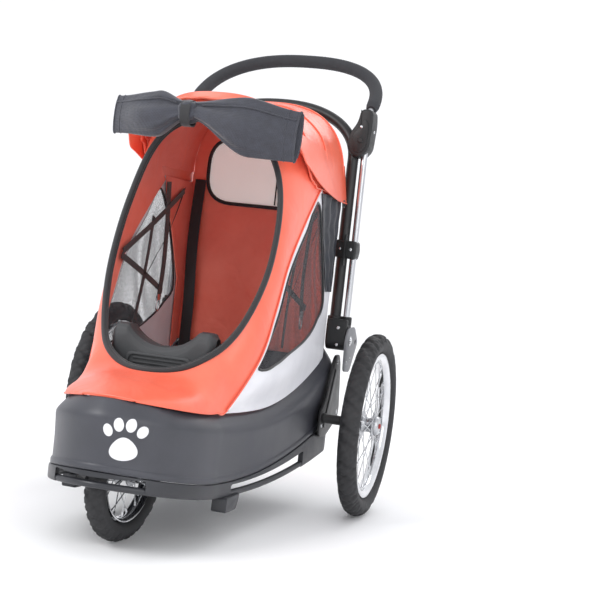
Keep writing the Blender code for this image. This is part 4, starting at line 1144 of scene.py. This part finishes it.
def build_joints_of_frame():
    shape = [(0.186, 0.788), (0.207, 0.782), (0.226, 0.802), (0.2298, 0.860), (0.2272, 0.893), (0.200, 0.893),
             (0.195, 0.862), (0.1795, 0.838), (0.1755, 0.806)]
    for side, name in SIDES:
        def mir(points):
            return [(side * a, b) for a, b in points]

        cover = slab(rounded(mir(shape), 0.012), "Y", 0.055, 0.113, 0.006, 4)
        ridge = slab(rounded(mir([(0.190, 0.797), (0.208, 0.793), (0.220, 0.808), (0.223, 0.856), (0.214, 0.872),
                                  (0.201, 0.850), (0.186, 0.830)]), 0.008), "Y", 0.0525, 0.057, 0.0018)
        line = tube([(side * 0.2015, 0.0548, 0.890), (side * 0.203, 0.0546, 0.866), (side * 0.2035, 0.0540, 0.80)],
                    0.0011)
        bolt = turned([(0, 0.0), (0.006, 0.0), (0.0065, -0.0015), (0.005, -0.0035), (0, -0.0038)],
                      (side * 0.207, 0.0535, 0.822), (0, 1, 0), 24)
        finish_piece(joined(cover, ridge, line, bolt), f"elbow_housing_{name}", "glass filled nylon", "frame",
                     [f"housing_{name}"])
        ahead, out = (0, -1, 0), (side, 0, 0)
        screws(f"elbow_rivets_{name}", "frame", ((side * 0.2065, 0.0512, 0.852), ahead, 0.0034),
               ((side * 0.2292, 0.084, 0.845), out, 0.0036))
        clip = slab(rounded(mir([(0.1755, 0.558), (0.222, 0.555), (0.2255, 0.575), (0.223, 0.596), (0.1755, 0.597)]),
                            0.007), "Y", 0.053, 0.095, 0.0045, 3)
        groove = slab(mir([(0.1995, 0.54), (0.2025, 0.54), (0.2025, 0.61), (0.1995, 0.61)]), "Y", 0.04, 0.0545)
        finish_piece(carve(clip, [groove]), f"tube_clip_{name}", "glass filled nylon", "frame", [f"mid_clip_{name}"])
        screws(f"tube_clip_screws_{name}", "frame", ((side * 0.2115, 0.0530, 0.577), ahead, 0.0040),
               ((side * 0.188, 0.0530, 0.577), ahead, 0.0030))
        # the lower bracket: a round eye that widens into two sockets
        eye = [(PIVOT_Y + 0.0228 * math.cos(a), PIVOT_Z + 0.0228 * math.sin(a))
               for a in spread(math.pi * 0.99, math.pi * 2.01, 22)]
        body = eye + [(0.0955, 0.398), (0.094, 0.4195), (0.050, 0.4195), (0.0485, 0.398)]
        block = slab(body, "X", side * 0.177, side * 0.2238, 0.0028, 3)
        waist = slab(rounded([(0.058, 0.352), (0.086, 0.352), (0.086, 0.405), (0.058, 0.405)], 0.006), "X",
                     side * 0.2225, side * 0.2252, 0.0008)
        collars = [turned([(0.0, -0.012), (low, -0.012), (wide, -0.010), (wide, 0.004), (top, 0.006), (0, 0.006)],
                          (side * x, y, 0.4195), (0, 0, 1), 36)
                   for x, y, low, wide, top in ((0.190, 0.072, 0.0168, 0.0172, 0.0155),
                                                (0.2145, 0.075, 0.0128, 0.0132, 0.0115))]
        finish_piece(joined(block, waist, *collars), f"pivot_bracket_{name}", "glass filled nylon", "frame",
                     [f"lower_bracket_{name}"])
        screws(f"pivot_screws_{name}", "frame", ((side * 0.2250, 0.0655, 0.392), out, 0.0046),
               ((side * 0.205, 0.0488, 0.400), ahead, 0.0040), ((side * 0.205, 0.0500, 0.362), ahead, 0.0036))
        plate = slab(rounded([(0.045, 0.304), (0.098, 0.300), (0.152, 0.368), (0.110, 0.404), (0.050, 0.400),
                              (0.036, 0.372)], 0.012), "X", side * 0.2254, side * 0.2296, 0.0012)
        hole = slab(ring_outline(0.126, 0.368, 0.0058, 0.0058, 2, 24), "X", side * 0.22, side * 0.24)
        finish_piece(carve(plate, [hole]), f"fold_lock_plate_{name}", "grey paint", "tub", [f"fold_plate_{name}"])
        pin = turned([(0, -0.012), (0.0075, -0.012), (0.0075, 0.0015), (0.006, 0.0035), (0, 0.0038)],
                     (side * 0.2296, PIVOT_Y, PIVOT_Z), (side, 0, 0), 32)
        washer = turned([(0.0076, 0), (0.011, 0), (0.011, 0.0012), (0.0076, 0.0012)],
                        (side * 0.2297, PIVOT_Y, PIVOT_Z), (side, 0, 0), 32, True)
        finish_piece(joined(pin, washer, screw((side * 0.2296, 0.062, 0.322), (side, 0, 0), 0.0042),
                            screw((side * 0.2296, 0.090, 0.330), (side, 0, 0), 0.0042)), f"pivot_pin_{name}",
                     "stainless steel", "tub")
        arm = slab(rounded([(-.030, .170), (-.014, .160), (.030, .156), (.128, .190), (.134, .212), (.104, .318),
                            (.088, .338), (.058, .338), (.040, .322), (.012, .245), (-.026, .215)], 0.010), "X",
                   side * 0.2012, side * 0.2068, 0.0012)
        rib = slab(rounded([(.000, .180), (.020, .176), (.078, .300), (.060, .308)], 0.008), "X", side * 0.2062,
                   side * 0.2090, 0.0012)
        finish_piece(joined(arm, rib), f"axle_arm_{name}", "black powder coat", "tub", [f"axle_plate_{name}"])
        screws(f"axle_arm_rivets_{name}", "tub", *[((side * 0.2068, y, z), out, 0.005)
                                                   for y, z in ((0.072, 0.322), (0.112, 0.205), (-0.012, 0.185))])
        stub = turned([(0.0074, 0), (0.0115, 0), (0.0115, 0.004), (0.0105, 0.006), (0.0105, 0.052), (0.0115, 0.054),
                       (0.0115, 0.0605), (0.0074, 0.0605)], (side * 0.2071, 0, AXLE_Z), (side, 0, 0), 40, True)
        finish_piece(stub, f"axle_sleeve_{name}", "black powder coat", "tub", [f"axle_stub_{name}"], slot="hub_alloy")
    cross = turned([(0, -0.2008), (0.0078, -0.2008), (0.009, -0.1996), (0.009, 0.1996), (0.0078, 0.2008),
                    (0, 0.2008)], (0, 0.118, 0.205), (1, 0, 0), 32)
    finish_piece(cross, "rear_cross_bar", "black powder coat", "tub", ["rear_cross_tube"])
    pedal = slab(rounded([(-0.044, 0.133), (0.044, 0.133), (0.044, 0.184), (-0.044, 0.184)], 0.010), "Z", 0.1865,
                 0.192, 0.0018)
    barrel = turned([(0.0094, -0.044), (0.0148, -0.044), (0.015, -0.042), (0.015, 0.042), (0.0148, 0.044),
                     (0.0094, 0.044)], (0, 0.118, 0.205), (1, 0, 0), 40, True)
    treads = [slab(rounded([(x, 0.146), (x + 0.004, 0.146), (x + 0.004, 0.178), (x, 0.178)], 0.0015), "Z", 0.1915,
                   0.1934, 0.0006) for x in spread(-0.034, 0.030, 7)]
    finish_piece(joined(pedal, barrel, *treads), "brake_foot_pedal", "glass filled nylon", "brake", ["brake_pedal"])


# ---- wheels ----
def tread_ring(centre, axis, big, small, waves, groove):
    """A tyre whose tread is cut with flowing wavy grooves."""
    axis = Vector(axis).normalized()
    up = Vector((0, 0, 1))
    ahead = axis.cross(up).normalized()
    centre = Vector(centre)

    def place(u, v):
        a, b = u * 2 * math.pi, v * 2 * math.pi
        out = max(math.cos(b), 0)
        flow = math.sin(a * waves + 2.6 * math.sin(b) + 1.1 * math.sin(a * waves / 2))
        second = math.sin(a * waves * 2 - 5.0 * math.sin(b))
        depth = groove * ease((out - 0.12) * 3) * (ease((flow - 0.15) * 3) + 0.45 * ease((second - 0.45) * 4))
        crown = -groove * 1.2 * ease(1 - abs(abs(math.sin(b)) - 0.06) * 22) * (out > 0)
        bead = 0.0006 * (ease(1 - abs(out - 0.08) * 14) if math.cos(b) > -0.2 else 0)
        c, s = power_curve(b, 2.15)
        r = small - depth + crown * 0.6 + bead - 0.0006
        return centre + (up * math.sin(a) + ahead * math.cos(a)) * (big + r * c) + axis * (r * s)
    return surface(place, waves * 14, 44, (2 * math.pi * big, 2 * math.pi * small))


def spokes(centre, axis, count, hub_r, rim_r, hub_side, thick):
    """Crossed wires from the two hub flanges to nipples in the rim."""
    axis = Vector(axis).normalized()
    up, centre = Vector((0, 0, 1)), Vector(centre)
    ahead = axis.cross(up).normalized()
    wires, nipples = [], []
    for i in range(count):
        side = 1 if i % 2 else -1
        a = 2 * math.pi * i / count
        lean = 0.62 * (1 if (i // 2) % 2 else -1)
        start = centre + (up * math.sin(a + lean) + ahead * math.cos(a + lean)) * hub_r + axis * hub_side * side
        end = centre + (up * math.sin(a) + ahead * math.cos(a)) * rim_r + axis * 0.002 * side
        wires.append(tube([start, start.lerp(end, 0.5), end], thick, sides=1))
        direction = (start - end).normalized()
        nipples.append(turned([(0, -0.002), (thick * 2.1, -0.002), (thick * 1.9, 0.008), (thick, 0.010), (0, 0.010)],
                              end, direction, 8))
    return joined(*wires, *nipples)


def build_wheels(sizes):
    for side, name in SIDES:
        centre, axis, body = (side * REAR_TRACK_HALF, 0, AXLE_Z), (side, 0, 0), f"rear_wheel_{name}"
        tyre = tread_ring(centre, axis, 0.1785, 0.0215, 32, 0.0030)
        finish_piece(tyre, f"rear_tread_{name}", "tyre rubber", body, [f"rear_tyre_{name}"], crease=60)
        rim = both_ways([(0.1370, -0.0060), (0.1405, -0.0110), (0.1480, -0.0135), (0.1560, -0.0145),
                         (0.1580, -0.0135), (0.1575, -0.0120), (0.1520, -0.0105), (0.1500, 0.0)], (0.1362, 0.0))
        finish_piece(turned(rim, centre, axis, 160, True), f"rear_rim_band_{name}", "polished aluminium", body,
                     [f"rear_rim_{name}"])
        hub = [(0.0062, 0.010), (0.0062, 0.025), (0.0125, 0.0252), (0.0190, 0.0235), (0.0215, 0.0195),
               (0.0215, 0.0165), (0.0275, 0.0155), (0.0285, 0.0145), (0.0285, 0.0125), (0.0275, 0.0115),
               (0.0190, 0.0105), (0.0165, 0.0060), (0.0155, 0.0), (0.0165, -0.0060), (0.0190, -0.0105),
               (0.0275, -0.0115), (0.0285, -0.0125), (0.0285, -0.0145), (0.0275, -0.0155), (0.0205, -0.0165),
               (0.0190, -0.0215), (0.0150, -0.0250), (0.0148, -0.0400), (0.0125, -0.0402), (0.0062, -0.0402)]
        spindle = turned([(0, 0.010), (0.0062, 0.010), (0.0062, -0.088), (0, -0.088)], centre, axis, 24)
        finish_piece(joined(turned(hub, centre, axis, 72), spindle), f"rear_hub_body_{name}", "turned aluminium",
                     body, [f"rear_hub_{name}"])
        finish_piece(spokes(centre, axis, sizes.spoke_count, 0.0255, 0.1385, 0.0128, 0.0011), f"rear_spokes_{name}",
                     "stainless steel", body)
        valve = turned([(0, 0), (0.0032, 0), (0.0032, 0.014), (0.0026, 0.016), (0.0026, 0.026), (0, 0.026)],
                       Vector(centre) + Vector((0, 0.1, 0.1)) * 0.97, (0, -1, -1), 16)
        finish_piece(valve, f"rear_valve_{name}", "glass filled nylon", body)
        button = turned([(0, -0.008), (0.0055, -0.008), (0.0055, 0.0268), (0.0048, 0.0280), (0.0030, 0.0284),
                         (0.0022, 0.0276), (0, 0.0274)], centre, axis, 40)
        finish_piece(button, f"release_cap_{name}", "red acetal", f"release_{name}", [f"release_button_{name}"])
    heading = math.radians(6.5)
    axis = Vector((math.cos(heading), -math.sin(heading), 0))
    low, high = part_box("front_tyre")
    centre = Vector(((low[0] + high[0]) / 2, (low[1] + high[1]) / 2 - AXLE_Y, FRONT_AXLE_Z))
    finish_piece(tread_ring(centre, axis, 0.1005, 0.0195, 20, 0.0028), "front_tread", "tyre rubber", "front_wheel",
                 ["front_tyre"], crease=60)
    rim = both_ways([(0.0745, -0.0050), (0.0770, -0.0105), (0.0800, -0.0130), (0.0822, -0.0135), (0.0815, -0.0118),
                     (0.0790, -0.0095), (0.0785, 0.0)], (0.0740, 0.0))
    finish_piece(turned(rim, centre, axis, 120, True), "front_rim_band", "polished aluminium", "front_wheel",
                 ["front_rim"])
    hub = both_ways([(0, 0.0215), (0.0090, 0.0215), (0.0100, 0.0200), (0.0100, 0.0150), (0.0175, 0.0140),
                     (0.0180, 0.0110), (0.0110, 0.0090), (0.0100, 0.0)])
    finish_piece(turned(hub, centre, axis, 60), "front_hub_body", "turned aluminium", "front_wheel", ["front_hub"])
    build_fork(centre, axis)
    finish_piece(spokes(centre, axis, 20, 0.0155, 0.0755, 0.0118, 0.001), "front_spokes", "stainless steel",
                 "front_wheel")


def build_fork(centre, axis):
    """Caster fork: crown, two tapering blades, stem and the axle's nuts."""
    ahead = Vector((0, 0, 1)).cross(axis).normalized() * -1
    turn = Matrix((axis, ahead * -1, Vector((0, 0, 1)))).transposed().to_4x4()
    turn.translation = Vector((0, SWIVEL_Y, 0))
    crown = rounded([(-0.030, -0.030), (0.030, -0.030), (0.030, 0.013), (-0.030, 0.013)], 0.008)
    parts = [slab(crown, "Z", 0.2430, 0.2465, 0.001)]
    for x in (-0.0275, 0.0275):
        blade = rounded([(-0.014, 0.244), (0.006, 0.244), (-0.004, 0.150), (-0.008, 0.112), (-0.024, 0.112),
                         (-0.024, 0.130)], 0.005)
        parts.append(slab(blade, "X", x - 0.0025, x + 0.0025, 0.0008))
    parts.append(turned([(0, 0.244), (0.0088, 0.244), (0.0088, 0.263), (0.0145, 0.2625), (0.0145, 0.2655),
                         (0.012, 0.2675), (0, 0.2678)], (0, 0, 0), (0, 0, 1), 32))
    body = joined(*parts)
    bmesh.ops.transform(body, matrix=turn, verts=body.verts)
    finish_piece(body, "caster_fork", "glass filled nylon", "caster", ["front_fork"])
    nuts = joined(*[turned([(0, 0.0300), (0.0085, 0.0300), (0.0085, 0.0345), (0.0065, 0.0362), (0, 0.0364)], centre,
                           axis * s, 6) for s in (1, -1)])
    finish_piece(nuts, "caster_axle_nuts", "stainless steel", "caster")


# ---- floor, light and camera ----
def build_stage(look):
    scene = bpy.context.scene

    def sweep(u, v):
        """Flat under the stroller, curving up into a wall well behind it."""
        along = mix(-6, 14, v)
        angle = min(max((along - 3.0) / 2.5, 0), math.pi / 2)
        y = min(along, 3.0) + 2.5 * math.sin(angle)
        z = 2.5 * (1 - math.cos(angle)) + max(along - 3.0 - 2.5 * math.pi / 2, 0)
        return Vector((mix(-10, 10, u), y, CAD_BOX[0][2] - 0.0004 + z))
    floor = surface(sweep, 2, 120)
    bmesh.ops.recalc_face_normals(floor, faces=floor.faces)
    mesh = mesh_of(floor, "studio_floor")
    mesh.shade_smooth()
    ground = bpy.data.objects.new("studio_floor", mesh)
    scene.collection.objects.link(ground)
    mesh.materials.append(FINISH["matte board"])
    world = bpy.data.worlds.new("studio")
    scene.world = world
    world.use_nodes = True
    world.node_tree.nodes["Background"].inputs["Color"].default_value = linear("#F6F7FA")
    world.node_tree.nodes["Background"].inputs["Strength"].default_value = look.room_light
    for name, spot, size, power, aim in (
            ("key_softbox", (-1.7, -2.6, 2.6), 1.6, look.key_power, (0, 0, 0.5)),
            ("fill_softbox", (2.6, -2.2, 1.6), 2.2, look.key_power * 0.38, (0, 0, 0.4)),
            ("rear_softbox", (0.6, 2.4, 2.6), 1.8, look.key_power * 0.35, (0, 0, 0.6))):
        lamp = bpy.data.lights.new(name, "AREA")
        lamp.energy, lamp.size = power, size
        obj = bpy.data.objects.new(name, lamp)
        scene.collection.objects.link(obj)
        obj.location = spot
        obj.rotation_euler = (Vector(aim) - Vector(spot)).to_track_quat("-Z", "Y").to_euler()
    a, e, r = look.camera_turn, look.camera_tilt, look.camera_roll
    back = Vector((math.sin(a) * math.cos(e), -math.cos(a) * math.cos(e), math.sin(e)))
    right = Vector((math.cos(a), math.sin(a), 0))
    up = back.cross(right)
    cam = bpy.data.cameras.new("camera")
    cam.sensor_width, cam.lens = 36, look.camera_lens
    obj = bpy.data.objects.new("camera", cam)
    scene.collection.objects.link(obj)
    frame_right, frame_up = math.cos(r) * right + math.sin(r) * up, -math.sin(r) * right + math.cos(r) * up
    turn = Matrix((frame_right, frame_up, back)).transposed().to_4x4()
    turn.translation = Vector((0.8728, -2.6646 + AXLE_Y, 0.5392))
    obj.matrix_world = turn
    scene.camera = obj
    scene.view_settings.view_transform = "Standard"


# ---- the add-on ----
class StrollerSizes(bpy.types.PropertyGroup):
    opening_width: FloatProperty(name="Opening width", description="Width of the oval front opening",
                                 default=0.326, min=0.1, max=0.34, unit="LENGTH")
    opening_height: FloatProperty(name="Opening height", description="Height of the oval front opening",
                                  default=0.492, min=0.1, max=0.5, unit="LENGTH")
    spoke_count: IntProperty(name="Rear spokes", description="Wires in each rear wheel", default=28, min=8, max=48)


class StrollerLook(bpy.types.PropertyGroup):
    fabric_colour: FloatVectorProperty(name="Fabric colour", description="Pale tone of the coated outer fabric",
                                       default=linear("#FA7A60")[:3], min=0, max=1, subtype="COLOR")
    tub_colour: FloatVectorProperty(name="Tub colour", description="Pale tone of the moulded tub",
                                    default=linear("#43444B")[:3], min=0, max=1, subtype="COLOR")
    room_light: FloatProperty(name="Room light", description="Strength of the even light from all round",
                              default=1.05, min=0, subtype="FACTOR")
    key_power: FloatProperty(name="Key light", description="Power of the main softbox", default=60.0, unit="POWER")
    camera_turn: FloatProperty(name="Camera turn", description="Angle round from the front",
                               default=math.radians(15.71), unit="ROTATION")
    camera_tilt: FloatProperty(name="Camera tilt", description="Angle down from level",
                               default=math.radians(1.778), unit="ROTATION")
    camera_roll: FloatProperty(name="Camera roll", description="Angle of lean to one side",
                               default=math.radians(6.331), unit="ROTATION")
    camera_lens: FloatProperty(name="Camera lens", description="Focal length", default=74.84, unit="CAMERA")


class STROLLER_OT_finishes(bpy.types.Operator):
    """Make the moulded, woven, painted and metal finishes"""
    bl_idname = "stroller.finishes"
    bl_label = "Finishes"

    def execute(self, context):
        make_finishes(context.scene.stroller_look)
        return {"FINISHED"}


class STROLLER_OT_tub(bpy.types.Operator):
    """Build the moulded tub with its rolled rim, rear deck and printed paw"""
    bl_idname = "stroller.tub"
    bl_label = "Tub"

    def execute(self, context):
        build_tub()
        return {"FINISHED"}


class STROLLER_OT_bumper(bpy.types.Operator):
    """Build the slotted bumper, its inner bar and the two foot pads"""
    bl_idname = "stroller.bumper"
    bl_label = "Bumper"

    def execute(self, context):
        build_bumper()
        return {"FINISHED"}


class STROLLER_OT_chin_rest(bpy.types.Operator):
    """Build the scooped chin rest and its blank badge frame"""
    bl_idname = "stroller.chin_rest"
    bl_label = "Chin Rest"

    def execute(self, context):
        build_chin_rest()
        return {"FINISHED"}


class STROLLER_OT_cabin_front(bpy.types.Operator):
    """Build the coated front with its oval opening, rim and piping"""
    bl_idname = "stroller.cabin_front"
    bl_label = "Cabin Front"

    def execute(self, context):
        build_cabin_front(context.scene.stroller_sizes)
        return {"FINISHED"}


class STROLLER_OT_lining(bpy.types.Operator):
    """Build the red lining behind the front"""
    bl_idname = "stroller.lining"
    bl_label = "Front Lining"

    def execute(self, context):
        build_lining()
        return {"FINISHED"}


class STROLLER_OT_sides(bpy.types.Operator):
    """Build the side windows, lower panels and pleated gussets"""
    bl_idname = "stroller.sides"
    bl_label = "Cabin Sides"

    def execute(self, context):
        build_sides()
        return {"FINISHED"}


class STROLLER_OT_canopy(bpy.types.Operator):
    """Build the canopy, its brim, welts and hanging side flaps"""
    bl_idname = "stroller.canopy"
    bl_label = "Canopy"

    def execute(self, context):
        build_canopy()
        return {"FINISHED"}


class STROLLER_OT_back(bpy.types.Operator):
    """Build the rear panel, its lining and the bound rear window"""
    bl_idname = "stroller.back"
    bl_label = "Cabin Back"

    def execute(self, context):
        build_back()
        return {"FINISHED"}


class STROLLER_OT_door(bpy.types.Operator):
    """Build the mesh door rolled and tied in a bow"""
    bl_idname = "stroller.door"
    bl_label = "Rolled Door"

    def execute(self, context):
        build_door()
        return {"FINISHED"}


class STROLLER_OT_straps(bpy.types.Operator):
    """Build the webbing tethers, clips and the rear band"""
    bl_idname = "stroller.straps"
    bl_label = "Inside Straps"

    def execute(self, context):
        build_straps()
        return {"FINISHED"}


class STROLLER_OT_cushion(bpy.types.Operator):
    """Build the plush floor pad and its piping"""
    bl_idname = "stroller.cushion"
    bl_label = "Cushion"

    def execute(self, context):
        build_cushion()
        return {"FINISHED"}


class STROLLER_OT_frame(bpy.types.Operator):
    """Build the arch, handle rail, foam sleeve, brackets, plates and brake"""
    bl_idname = "stroller.frame"
    bl_label = "Folding Frame"

    def execute(self, context):
        build_frame()
        return {"FINISHED"}


class STROLLER_OT_wheels(bpy.types.Operator):
    """Build the treaded tyres, rims, spokes, hubs and release buttons"""
    bl_idname = "stroller.wheels"
    bl_label = "Wheels"

    def execute(self, context):
        build_wheels(context.scene.stroller_sizes)
        return {"FINISHED"}


class STROLLER_OT_stage(bpy.types.Operator):
    """Set the floor, soft light and camera"""
    bl_idname = "stroller.stage"
    bl_label = "Stage"

    def execute(self, context):
        build_stage(context.scene.stroller_look)
        return {"FINISHED"}


OPERATORS = [STROLLER_OT_finishes, STROLLER_OT_tub, STROLLER_OT_bumper, STROLLER_OT_chin_rest,
             STROLLER_OT_cabin_front, STROLLER_OT_lining, STROLLER_OT_sides, STROLLER_OT_canopy, STROLLER_OT_back,
             STROLLER_OT_door, STROLLER_OT_straps, STROLLER_OT_cushion, STROLLER_OT_frame, STROLLER_OT_wheels,
             STROLLER_OT_stage]


class STROLLER_PT_panel(bpy.types.Panel):
    """Sizes, colours and lights, and a button for every group of pieces"""
    bl_idname = "STROLLER_PT_panel"
    bl_label = "Pet Stroller"
    bl_space_type = "VIEW_3D"
    bl_region_type = "UI"
    bl_category = "Stroller"

    def draw(self, context):
        for group in (context.scene.stroller_sizes, context.scene.stroller_look):
            for key in group.bl_rna.properties.keys():
                if key not in ("rna_type", "name"):
                    self.layout.prop(group, key)
        for operator in OPERATORS:
            self.layout.operator(operator.bl_idname)


CLASSES = [StrollerSizes, StrollerLook, *OPERATORS, STROLLER_PT_panel]


def register():
    for cls in CLASSES:
        bpy.utils.register_class(cls)
    bpy.types.Scene.stroller_sizes = PointerProperty(type=StrollerSizes)
    bpy.types.Scene.stroller_look = PointerProperty(type=StrollerLook)


def unregister():
    del bpy.types.Scene.stroller_look
    del bpy.types.Scene.stroller_sizes
    for cls in reversed(CLASSES):
        bpy.utils.unregister_class(cls)


def main():
    register()
    for operator in OPERATORS:
        name = operator.bl_idname.split(".")[1]
        if getattr(bpy.ops.stroller, name)() != {"FINISHED"}:
            raise RuntimeError(name + " did not finish")


if __name__ == "__main__":
    main()
